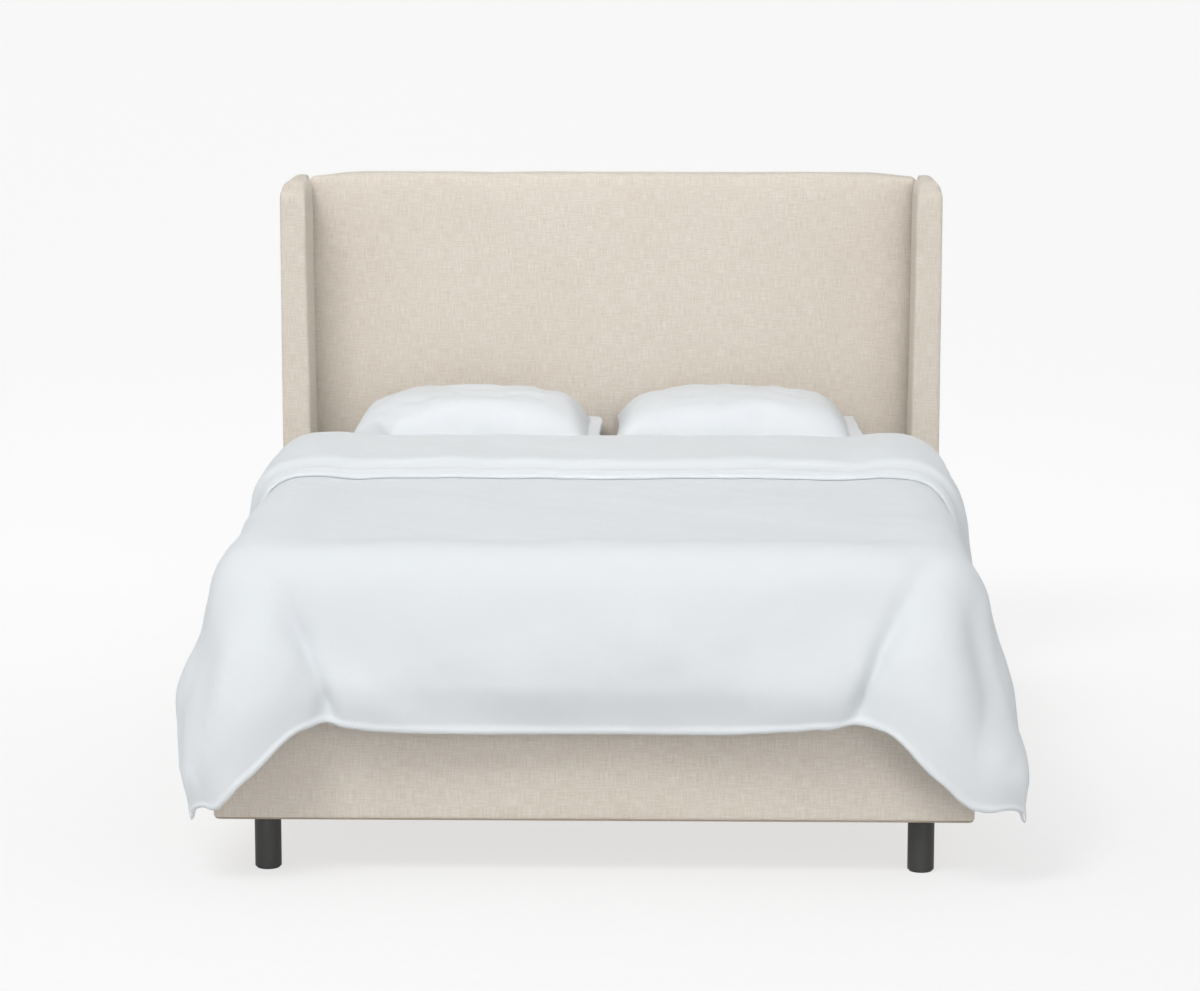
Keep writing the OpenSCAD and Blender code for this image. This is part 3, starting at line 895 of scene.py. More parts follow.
@dataclass
class ClothRun:
    """One run of the cloth solver on a piece, with things for it to fall on."""

    frames: int
    mass: float
    stretch: float
    shear: float
    bend: float
    air: float = 1.0
    damping: float = 5.0
    gap: float = 0.012
    quality: int = 8
    pressure: float = 0.0
    gravity: float = 1.0
    angular: bool = False

    def settle_on(self, ob: bpy.types.Object, rests: Sequence[bpy.types.Object],
                  held: Array | None = None, rest_key: str = "") -> Array:
        """Runs the cloth and gives where its points come to rest.

        Args:
            ob: the cloth piece.
            rests: pieces that it falls on.
            held: how firmly each point is held, from 0 to 1.
            rest_key: the shape key that holds the flat cut.

        Returns:
            The points, one row each. The piece and its rests are removed.
        """
        scene = bpy.context.scene
        cloth = ob.modifiers.new("cloth", "CLOTH")
        s = cloth.settings
        s.quality, s.mass, s.air_damping = self.quality, self.mass, self.air
        s.tension_stiffness = s.compression_stiffness = self.stretch
        s.shear_stiffness, s.bending_stiffness = self.shear, self.bend
        s.tension_damping = s.compression_damping = s.shear_damping = self.damping * 2
        s.bending_damping = self.damping
        s.bending_model = "ANGULAR" if self.angular else "LINEAR"
        s.effector_weights.gravity = self.gravity
        if self.pressure:
            s.use_pressure, s.uniform_pressure_force = True, self.pressure
        if held is not None:
            group = ob.vertex_groups.new(name="held")
            for i in np.flatnonzero(held > 0):
                group.add([int(i)], float(held[i]), "REPLACE")
            s.vertex_group_mass, s.pin_stiffness = group.name, 1.0
        if rest_key:
            s.rest_shape_key = ob.data.shape_keys.key_blocks[rest_key]
        cloth.collision_settings.distance_min = self.gap
        cloth.collision_settings.collision_quality = 3
        cloth.collision_settings.use_self_collision = False
        cloth.point_cache.frame_end = self.frames + 5
        scene.frame_start, scene.frame_end = 1, self.frames
        for number in range(1, self.frames + 1):
            scene.frame_set(number)
        still = ob.evaluated_get(bpy.context.evaluated_depsgraph_get()).data
        co = np.empty(len(still.vertices) * 3)
        still.vertices.foreach_get("co", co)
        scene.frame_set(1)
        for gone in (ob, *rests):
            discard(gone)
        return co.reshape(-1, 3)


def support(name: str, low: Sequence[float], high: Sequence[float], radius: float,
            skin: float = 0.02) -> bpy.types.Object:
    """A round-edged block for cloth to fall on.

    Args:
        name: the block's name.
        low: low corner.
        high: high corner.
        radius: edge radius.
        skin: how far off the cloth is held.

    Returns:
        The block.
    """
    ob = soft_block(np.array(low), np.array(high), (radius,) * 3, WHOLE, 5).piece(name)
    ob.modifiers.new("touch", "COLLISION")
    ob.collision.thickness_outer = skin
    ob.collision.thickness_inner = 0.05
    ob.collision.cloth_friction = 8.0
    return ob


# ---- duvet


@dataclass
class Duvet:
    """The duvet: draped over the mattress and the rails, its head end folded back.

    The flat cut is width by length. fold lies back on it, hang_x and hang_y are where its sides
    and foot are drawn in, and start_edge, start_turn and start_lean bend the cut before it falls.
    hem holds the stations of a rolled hem, and hem_rise its thickness at them.
    """

    width: float = 2.33
    length: float = 1.850
    spacing: float = 0.035
    fine: float = 0.0125
    thick: float = 0.044
    fold_thick: float = 0.036
    fold: float = 0.475
    turn_room: float = 0.035
    corner_turn: float = 0.065
    corner_reach: float = 0.35
    turn_rows: int = 11
    fold_reach: tuple[float, float] = (0.945, 1.045)
    fold_spread: float = 0.62
    hang_x: float = 0.835
    hang_y: float = 1.105
    draw_in: float = 0.68
    foot_drop: float = 0.43
    corner_u: float = 0.78
    corner_drop: float = 0.15
    right_flare: float = 0.068
    gully_depth: float = 0.040
    lobe_depth: float = 0.030
    notch: float = 0.012
    rest_end: float = 1.03
    start_edge: tuple[float, float] = (0.72, 0.95)
    start_turn: float = 0.10
    start_lean: float = math.radians(40.0)
    hem: tuple[float, ...] = (0.0, 0.003, 0.007, 0.011, 0.015, 0.020, 0.028)
    hem_rise: tuple[float, ...] = (0.0035, 0.0095, 0.0120, 0.0110, 0.0085, 0.0100)

    @property
    def gap(self) -> float:
        """Distance between the middles of the lower layer and the fold."""
        return (self.thick + self.fold_thick) / 2 + 0.001

    def cut(self) -> tuple[Array, Array, Array, Array]:
        """The flat cut, its lower corners rounded off.

        Returns:
            Its stations across and along, and the X and Y of its points.
        """
        rear = float(node_box("duvet")[1][1]) - self.turn_room
        across = np.linspace(-self.width / 2, self.width / 2,
                             int(round(self.width / self.spacing)) + 1)
        along = np.linspace(rear - self.length, rear,
                            int(round(self.length / self.spacing)) + 1)
        u, v = np.meshgrid(across, along)
        near = smooth((np.abs(u) - (self.width / 2 - self.corner_reach)) / self.corner_reach)
        low_end = smooth((along[0] + self.corner_reach - v) / self.corner_reach)
        return (across, along, u - np.sign(u) * self.corner_turn * near * low_end ** 2,
                v + self.corner_turn * low_end * near ** 2)

    def drape(self) -> Array:
        """Lets the cut fall over the mattress and the rails.

        Returns:
            The draped points, in the cut's rows and columns.
        """
        u, v = self.cut()[2:]
        top = node_box("mattress")[1][2] + 0.028
        lean, turn = self.start_lean, self.start_turn

        def bent(far: Array, edge: float) -> tuple[Array, Array]:
            """How far out and how far down a station lies once the cut is bent over an edge."""
            past = np.maximum(far - edge, 0.0)
            angle = np.minimum(past / turn, lean)
            rest = np.maximum(past - turn * lean, 0.0)
            out = np.where(far > edge, edge + turn * np.sin(angle) + rest * math.cos(lean), far)
            return out, turn * (1 - np.cos(angle)) + rest * math.sin(lean)

        x, drop_x = bent(np.abs(u), self.start_edge[0])
        y, drop_y = bent(-v, self.start_edge[1])
        start = np.stack([x * np.sign(u), -y, top - drop_x - drop_y], -1)
        flat = np.stack([u, v, np.full_like(u, top)], -1)
        ob = sheet_grid(flat, np.stack([u, v], -1)).piece("duvet_cut")
        ob.shape_key_add(name="flat")
        key = ob.shape_key_add(name="start")
        key.data.foreach_set("co", start.astype(np.float32).ravel())
        key.value = 1.0
        m_low, m_high = node_box("mattress")
        r_low, r_high = node_box("foot_rail_cover")
        slack = 0.003
        soft = support("soft", (m_low[0] - slack, m_low[1] - slack, 0.30),
                       (m_high[0] + slack, m_high[1] + slack, m_high[2] + 0.002), 0.04)
        rails = support("rails", r_low, (r_high[0], self.rest_end, r_high[2]), 0.012)
        held = (smooth((self.start_edge[0] - np.abs(u)) / 0.1) * smooth((v + 0.96) / 0.1)).ravel()
        run = ClothRun(50, 0.35, 40.0, 20.0, 60.0, air=2.0, angular=True)
        return run.settle_on(ob, (soft, rails), held, "flat").reshape(start.shape)

    def shaped(self, grid: Array) -> Array:
        """Draws the spread corners in, and sets the creases and lobes of the foot end.

        Args:
            grid: the draped points.

        Returns:
            The points, moved.
        """
        x, y, z = (grid[..., k].copy() for k in range(3))
        rows, cols = x.shape
        u = np.abs(np.linspace(-self.width / 2, self.width / 2, cols))[None]
        s = np.linspace(0.0, self.length, rows)[:, None]
        low = np.clip(1 - s / self.foot_drop, 0.0, 1.0)
        right = np.where(x < 0, 0.0, 1.0)
        hang = self.hang_x - (0.040 - 0.022 * right) * smooth((z - 0.38) / 0.15)
        beyond = np.maximum(np.abs(x) - hang, 0.0)
        corner = smooth((u - 0.80) / 0.3) * smooth((0.75 - s) / 0.6)
        out = np.abs(x) - beyond * self.draw_in + self.right_flare * right * corner * low
        x = np.sign(x) * out
        y += np.maximum(-self.hang_y - y, 0.0) * self.draw_in

        # the foot hem runs lower towards each corner, then turns up a little at its tip
        wide = np.where(u < self.corner_u, 0.11, 0.16)
        z -= low * (self.corner_drop * np.exp(-((u - self.corner_u) / wide) ** 2)
                    + 0.010 * smooth((u - 0.75) / 0.2) + 0.022 * np.exp(-((u - 0.98) / 0.09) ** 2)
                    - 0.014 * smooth((u - 1.07) / 0.09))

        # a gully at each side of the foot end, and a lobe beyond it
        front = smooth((-y - 1.02) / 0.06)
        crease = (0.725 + 0.015 * right) - (0.175 + 0.02 * right) * low ** 0.8
        gully = np.exp(-((np.abs(x) - crease) / (0.038 - 0.025 * low)) ** 2)
        z += front * low ** 3 * self.notch * gully
        lobe = smooth((np.abs(x) - crease - 0.01) / 0.13) * smooth((0.95 - np.abs(x)) / 0.12)
        y += front * low * (self.gully_depth * gully - self.lobe_depth * lobe)
        return np.stack([x, y, z], -1)

    def swell(self, u: Array, s: Array) -> Array:
        """How much thicker or thinner the filling makes the duvet, in metres.

        Args:
            u: distance across from the middle.
            s: distance along from the foot hem.

        Returns:
            The change of thickness.
        """
        place = np.stack([u.ravel(), s.ravel()], -1)
        broad = Ripple(11, 0.62).at(place).reshape(u.shape) * 0.007
        small = Ripple(29, 0.17).at(place).reshape(u.shape) * 0.0020
        drop = self.foot_drop
        down = np.clip((drop - s) / drop, 0.0, 1.0)
        line = 0.735 - 0.185 * down ** 0.8
        gully = np.exp(-((np.abs(u) - line) / (0.030 - 0.016 * down)) ** 2)
        gully *= smooth((drop + 0.06 - s) / 0.10) * (0.55 + 0.45 * down)
        belly = smooth((0.60 - np.abs(u)) / 0.35) * smooth((drop - s) / 0.2) * smooth(s / 0.1)
        return broad + small - 0.024 * gully + 0.014 * belly

    def loft(self, near: Array, full: Array) -> Array:
        """The thickness near a hem: a rolled edge, then the filling.

        Args:
            near: distance from the nearest hem.
            full: the thickness far from any hem.

        Returns:
            The thickness.
        """
        stations = self.hem[:len(self.hem_rise)]
        rolled = np.interp(near, stations, self.hem_rise)
        flat = self.hem_rise[-1]
        grow = np.sqrt(smooth((near - 0.016) / 0.085))
        return np.where(near < stations[-1], rolled, flat + (full - flat) * grow)

    def turned(self, last: Array, n_last: Array, u: Array, angles: Array
               ) -> tuple[Array, Array]:
        """The turn at the head end, half a circle from the lower layer up to the upper one.

        Args:
            last: the lower layer's last row of points.
            n_last: that row's normals.
            u: the row's distance across from the middle.
            angles: how far round each row of the turn lies.

        Returns:
            The turn's middle points and its outward normals.
        """
        way = np.array([0.0, 1.0, 0.0])
        half = self.gap / 2
        slack = 1.0 + 0.16 * Ripple(5, 0.5).at(u[:, None])
        turn = np.stack([last + n_last * half * (1 - math.cos(a))
                         + way * (half * math.sin(a) * slack)[:, None] for a in angles])
        return turn, np.stack([n_last * math.cos(a) - way * math.sin(a) for a in angles])

    def folded(self, base: Array, up: Array, over: Array, stops: tuple[Array, Array, Array]
               ) -> tuple[Array, Array, Array]:
        """The layer that lies folded back, its sides hanging shorter towards its own hem.

        Args:
            base: the lower layer's middle points.
            up: its normals.
            over: how thick it is above its middle.
            stops: stations along and across the lower layer, and back along the fold.

        Returns:
            The fold's middle points, the normals under them, and its thickness.
        """
        along, across, back = stops
        s2, u2 = np.meshgrid(back, across - self.width / 2, indexing="ij")
        reach = np.where(u2 < 0, *self.fold_reach)
        edge = self.width / 2 + (reach - self.width / 2) * smooth(s2 / self.fold) ** 1.3
        spread = self.fold_spread
        side_u = np.where(np.abs(u2) > spread,
                          spread + (np.abs(u2) - spread) * (edge - spread)
                          / (self.width / 2 - spread), np.abs(u2)) * np.sign(u2)
        sweep = 1.0 + 0.11 * smooth((np.abs(u2) - 0.5) / 0.35) + 0.012 * np.sin(u2 * 9.0)
        where_r = np.interp(self.length - s2 * sweep, along, np.arange(len(along)))
        where_c = np.interp(side_u + self.width / 2, across, np.arange(len(across)))
        under = read_at(up, where_r, where_c)

        # rolled at its hems, full inside, nipped behind its own hem
        place = np.stack([u2.ravel(), s2.ravel()], -1)
        nip = 0.5 * np.exp(-((self.fold - s2 - 0.050) / 0.012) ** 2)
        full = (self.fold_thick + 0.004 * Ripple(41, 0.4).at(place).reshape(u2.shape)) * (1 - nip)
        thick = self.loft(np.minimum(self.fold - s2, self.width / 2 - np.abs(u2)), full)
        lift = read_at(over[..., None], where_r, where_c)[..., 0] + thick / 2 + 0.0008
        lift += (self.gap - lift) * smooth(1 - s2 / 0.05)
        return read_at(base, where_r, where_c) + under * lift[..., None], under, thick

    def build(self) -> bpy.types.Object:
        """Builds the whole duvet.

        Returns:
            One closed padded piece.
        """
        coarse = self.shaped(relaxed(self.drape(), 2))
        across = hemmed(self.width, self.fine, self.hem)
        along = hemmed(self.length, self.fine, self.hem, high=False)
        base = resampled(coarse, along / self.length * (coarse.shape[0] - 1),
                         across / self.width * (coarse.shape[1] - 1))
        base = relaxed(base, 6)
        up = relaxed(normals_of(base), 8)
        up /= np.linalg.norm(up, axis=2, keepdims=True)
        u = across - self.width / 2
        thick = self.loft(np.minimum(along[:, None], self.width / 2 - np.abs(u)[None, :]),
                          self.thick + self.swell(*np.meshgrid(u, along)))
        outer = 0.5 + 0.2 * smooth(1 - np.abs(np.minimum(along, 0.30) - 0.15) / 0.15)[:, None]
        over = thick * outer

        angles = np.linspace(0, math.pi, self.turn_rows + 2)[1:-1]
        turn, n_turn = self.turned(base[-1], up[-1], u, angles)
        back = hemmed(self.fold, self.fine, self.hem, low=False)
        fold, n_fold, thick_fold = self.folded(base, up, over, (along, across, back))
        mid = np.concatenate([base, turn, fold])
        out = np.concatenate([up, n_turn, -n_fold])
        length = np.concatenate([along, self.length + angles * self.gap / 2,
                                 self.length + math.pi * self.gap / 2 + back])
        share = (angles / math.pi)[:, None]
        thick_turn = thick[-1] * (1 - share) + thick_fold[0] * share
        above = np.concatenate([over, thick_turn / 2, thick_fold / 2])
        below = np.concatenate([thick - over, thick_turn / 2, thick_fold / 2])
        top = mid + out * above[..., None]
        under = mid - out * below[..., None]
        place = np.stack(np.meshgrid(u, length), -1)
        ob = shell_of(top, under, place).piece("down_duvet")
        placed(dressed(ob, SATEEN), "duvet", "cotton_duvet", "duvet")
        return ob


# ---- pillows


@dataclass
class Pillow:
    """One feather pillow and its case, open at the end towards positive X."""

    side: Side
    seed: int
    round_left: float
    flap: float = 0.034
    cut_w: float = 0.70
    cut_l: float = 0.545
    grid: float = 0.0155
    frames: int = 22
    seam: float = 0.42
    flat: float = 0.018
    plump: float = 1.6
    clear: float = 0.004
    seam_z: float = 0.06
    wall: float = 0.0011

    def blown(self) -> tuple[Array, Array, Array]:
        """Fills two sheets sewn together and lets them puff up, with nothing under them and no
        gravity.

        Returns:
            The upper points, the lower points and the cloth coordinates, as grids.
        """
        cols = int(round(self.cut_w / self.grid)) + 1
        rows = int(round(self.cut_l / self.grid)) + 1
        u, v = np.meshgrid(np.linspace(-self.cut_w / 2, self.cut_w / 2, cols),
                           np.linspace(-self.cut_l / 2, self.cut_l / 2, rows))
        uv = np.stack([u, v], -1)
        reach = 0.17
        for sign, turn in ((-1, self.round_left), (1, 0.012)):
            a = smooth((sign * u - (self.cut_w / 2 - reach)) / reach)
            b = smooth((np.abs(v) - (self.cut_l / 2 - reach)) / reach)
            u, v = u - sign * turn * a * b ** 2, v - np.sign(v) * turn * b * a ** 2
        dome = (1 - (2 * uv[..., 0] / self.cut_w) ** 2) * (1 - (2 * uv[..., 1] / self.cut_l) ** 2)
        bump = Ripple(self.seed, 0.16).at(uv.reshape(-1, 2)).reshape(u.shape)
        dome = np.clip(dome, 0, 1) ** 0.7 * 0.05 * (1 + 0.25 * bump)
        upper = np.stack([u, v, self.seam_z + dome], -1)
        lower = np.stack([u, v, self.seam_z - dome], -1)
        upper[[0, -1], :, 2] += 0.0004
        index = np.arange(rows * cols).reshape(rows, cols)
        under = index + rows * cols
        under[[0, -1]], under[:, [0, -1]] = index[[0, -1]], index[:, [0, -1]]
        faces = [tuple(int(n[j + dj, i + di]) for dj, di in ring)
                 for n, ring in ((index, ((0, 0), (0, 1), (1, 1), (1, 0))),
                                 (under, ((0, 0), (1, 0), (1, 1), (0, 1))))
                 for j in range(rows - 1) for i in range(cols - 1)]
        used, packed = np.unique(np.array(faces), return_inverse=True)
        co = np.vstack([upper.reshape(-1, 3), lower.reshape(-1, 3)])[used]
        loose = Shape(co, rings_of(packed.reshape(-1, 4)), np.zeros((packed.size, 2)))
        run = ClothRun(self.frames, 0.30, 15.0, 5.0, 2.5, damping=8.0, gap=0.004,
                       quality=6, pressure=1.8, gravity=0.0)
        co = run.settle_on(loose.piece("pillow_cut"), ())
        place = np.zeros((2 * rows * cols, 3))
        place[used] = co
        return place[index], place[under], uv

    def fitted(self) -> tuple[Array, Array, Array]:
        """The filled shape brought to its place and size, and refined.

        Returns:
            Upper points, lower points and cloth coordinates, as grids.
        """
        top, under, uv = self.blown()
        low, high = node_box(f"pillowcase_{self.side.word}")
        high[0] -= self.flap
        low[:2] += self.clear
        high[1:] -= self.clear
        low[2] += self.clear / 2
        both = np.concatenate([top.reshape(-1, 3), under.reshape(-1, 3)])
        lo, hi = both.min(0), both.max(0)
        scale = (high - low) / (hi - lo)
        rows, cols = top.shape[:2]
        r, c = np.linspace(0, rows - 1, 2 * rows - 1), np.linspace(0, cols - 1, 2 * cols - 1)
        grids = []
        for grid in (relaxed(top, 3), relaxed(under, 3)):
            grid = low + (grid - lo) * scale
            tall = high[2] - low[2]
            t = (grid[..., 2] - low[2]) / tall
            half = (self.seam_z - lo[2]) / (hi[2] - lo[2])
            upper = np.clip((t - half) / (1 - half), 0.0, 1.0)
            bent = np.where(t < half, t * self.seam / half,
                            self.seam + (1 - (1 - upper) ** self.plump) * (1 - self.seam))
            z = low[2] + bent * tall
            above = np.maximum(z - low[2] - self.flat, 0.0)
            grid[..., 2] = low[2] + above * tall / (tall - self.flat)
            grids.append(resampled(grid, r, c))
        flat = resampled(np.dstack([uv, uv[..., :1]]), r, c)[..., :2]
        return grids[0], grids[1], flat

    @staticmethod
    def off(top: Array, under: Array, by: float) -> tuple[Array, Array]:
        """Moves two grids away from each other, and parts them at the seam.

        Args:
            top: upper points, in rows and columns.
            under: lower points, as many.
            by: how far each moves along its normals.

        Returns:
            The moved grids.
        """
        n_top, n_under = normals_of(top), -normals_of(under)
        ease = np.ones(top.shape[:2])
        ease[[0, -1]], ease[:, [0, -1]] = 0.0, 0.0
        seam = np.array([0.0, 0.0, 0.0012]) * (1 - ease)[..., None]
        return (top + n_top * by * ease[..., None] + seam,
                under + n_under * by * ease[..., None] - seam)

    def build(self) -> list[bpy.types.Object]:
        """Builds the pillow and its case.

        Returns:
            Both pieces.
        """
        top, under, uv = self.fitted()
        body = f"pillow_{self.side.word}"
        inner = shell_of(*self.off(top, under, -0.0015), uv).piece(f"feather_pillow_{self.side.word}")
        placed(dressed(inner, PILLOW_TICKING), body, "pillow_ticking", body)

        a, b = self.off(top, under, 0.0012)
        reach = np.array([0.25, 0.5, 0.75, 0.92, 1.0]) * self.flap
        ends = []
        wave = Ripple(self.seed + 7, 0.30).at(uv[:, -1])
        middle = 1 - (2 * uv[:, -1, 1] / self.cut_l) ** 2
        for grid, sign in ((a, 1), (b, -1)):
            more = []
            for step in reach:
                p = (a[:, -1] + b[:, -1]) / 2
                t = step / self.flap
                p = p + np.stack([np.full(len(p), step) + 0.002 * wave * t,
                                  np.zeros(len(p)),
                                  sign * (0.0015 + 0.006 * middle * t) - 0.010 * t * middle
                                  + 0.004 * wave * t], -1)
                more.append(p)
            ends.append(np.concatenate([grid, np.stack(more, 1)], 1))
        tail = uv[:, -1:, :] + np.stack([reach, np.zeros_like(reach)], -1)[None]
        skin = shell_of(ends[0], ends[1], np.concatenate([uv, tail], 1), open_end=True)
        case = skin.piece(f"pillow_case_{self.side.word}")
        wall = case.modifiers.new("cloth", "SOLIDIFY")
        wall.thickness, wall.offset = self.wall, -1.0
        dressed(case, PERCALE)
        placed(case, body, "cotton_case", f"pillowcase_{self.side.word}")
        return [inner, case]


# ---- mattress, sheet


def loop(half_w: float, half_l: float, radius: float, edge: int = 26, corner: int = 9) -> Array:
    """A round-cornered rectangle as points, anticlockwise, as many for every size.

    Args:
        half_w: half its width.
        half_l: half its length.
        radius: its corners' radius.
        edge: steps along each side.
        corner: points on each corner.

    Returns:
        The points' X and Y.
    """
    radius = min(radius, half_w * 0.98, half_l * 0.98)
    at = np.array([[half_w - radius, half_l - radius], [radius - half_w, half_l - radius],
                   [radius - half_w, radius - half_l], [half_w - radius, radius - half_l]])
    points: list[Array] = []
    for k in range(4):
        turn = np.linspace(0, math.pi / 2, corner) + k * math.pi / 2
        arc = at[k] + radius * np.stack([np.cos(turn), np.sin(turn)], -1)
        turn_next = (k + 1) * math.pi / 2
        start = at[(k + 1) % 4] + radius * np.array([math.cos(turn_next), math.sin(turn_next)])
        span = np.linspace(0, 1, edge + 1)[1:-1, None]
        points += [arc, arc[-1] + (start - arc[-1]) * span]
    return np.vstack(points)


def lofted(rings: Sequence[Array], caps: tuple[bool, bool]) -> Shape:
    """A skin over closed rings of points, the first lowest.

    Args:
        rings: rings of points in X, Y and Z, anticlockwise seen from above.
        caps: whether the first and the last ring are filled in.

    Returns:
        The shape, its cloth coordinates flat from above and unrolled down the sides.
    """
    count = len(rings[0])
    co = np.vstack(rings)
    n = np.arange(len(co)).reshape(-1, count)
    nxt = np.roll(n, -1, axis=1)
    quads = np.stack([n[:-1], nxt[:-1], nxt[1:], n[1:]], -1).reshape(-1, 4)
    middle = co[:, :2].mean(0)
    step = np.linalg.norm(np.diff(co.reshape(-1, count, 3), axis=0), axis=2).mean(1)
    down = np.concatenate([[0], np.cumsum(step)])
    way = co[:, :2] - middle
    radius = np.linalg.norm(way, axis=1, keepdims=True)
    outer = np.linalg.norm(rings[len(rings) // 3][:, :2] - middle, axis=1)
    spare = down[len(rings) // 3] - down
    grown = np.where(np.repeat(spare, count) > 0, np.tile(outer, len(rings))
                     + np.repeat(spare, count), radius[:, 0])
    uv = way / np.maximum(radius, 1e-6) * grown[:, None]
    faces = rings_of(quads)
    order = list(quads.ravel())
    for wanted, ring in zip(caps, (n[0][::-1], n[-1])):
        if wanted:
            faces.append(tuple(map(int, ring)))
            order += list(ring)
    return Shape(co, faces, uv[np.array(order)])


def wire(path: Array, radius: float, sides: int = 8, closed: bool = True) -> Shape:
    """A round tube along a path, for piping, welts and wire.

    Args:
        path: points along its middle.
        radius: the tube's radius.
        sides: points round the tube.
        closed: whether the path's ends meet.

    Returns:
        The shape, its cloth coordinates along and round the tube.
    """
    path = np.asarray(path, dtype=float)
    if closed:
        ahead, behind = np.roll(path, -1, 0), np.roll(path, 1, 0)
    else:
        ahead, behind = np.vstack([path[1:], path[-1:]]), np.vstack([path[:1], path[:-1]])
    way = ahead - behind
    way /= np.linalg.norm(way, axis=1, keepdims=True)
    least = np.argmin(np.abs(way).sum(0))
    hint = np.zeros(3)
    hint[least] = 1.0
    a = np.cross(way, hint)
    a /= np.linalg.norm(a, axis=1, keepdims=True)
    b = np.cross(way, a)
    turn = np.linspace(0, math.tau, sides, endpoint=False)
    co = path[:, None] + radius * (a[:, None] * np.cos(turn)[None, :, None]
                                   + b[:, None] * np.sin(turn)[None, :, None])
    n = np.arange(len(path) * sides).reshape(-1, sides)
    low, high = (n, np.roll(n, -1, 0)) if closed else (n[:-1], n[1:])
    quads = np.stack([low, np.roll(low, -1, 1), np.roll(high, -1, 1), high], -1).reshape(-1, 4)
    faces = rings_of(quads)
    run = np.concatenate([[0], np.cumsum(np.linalg.norm(np.diff(path, axis=0), axis=1))])
    uv = np.stack([np.repeat(run, sides), np.tile(turn * radius, len(path))], -1)
    order = list(quads.ravel())
    if not closed:
        for ring in (n[0][::-1], n[-1]):
            faces.append(tuple(map(int, ring)))
            order += list(ring)
    return Shape(co.reshape(-1, 3), faces, uv[np.array(order)])


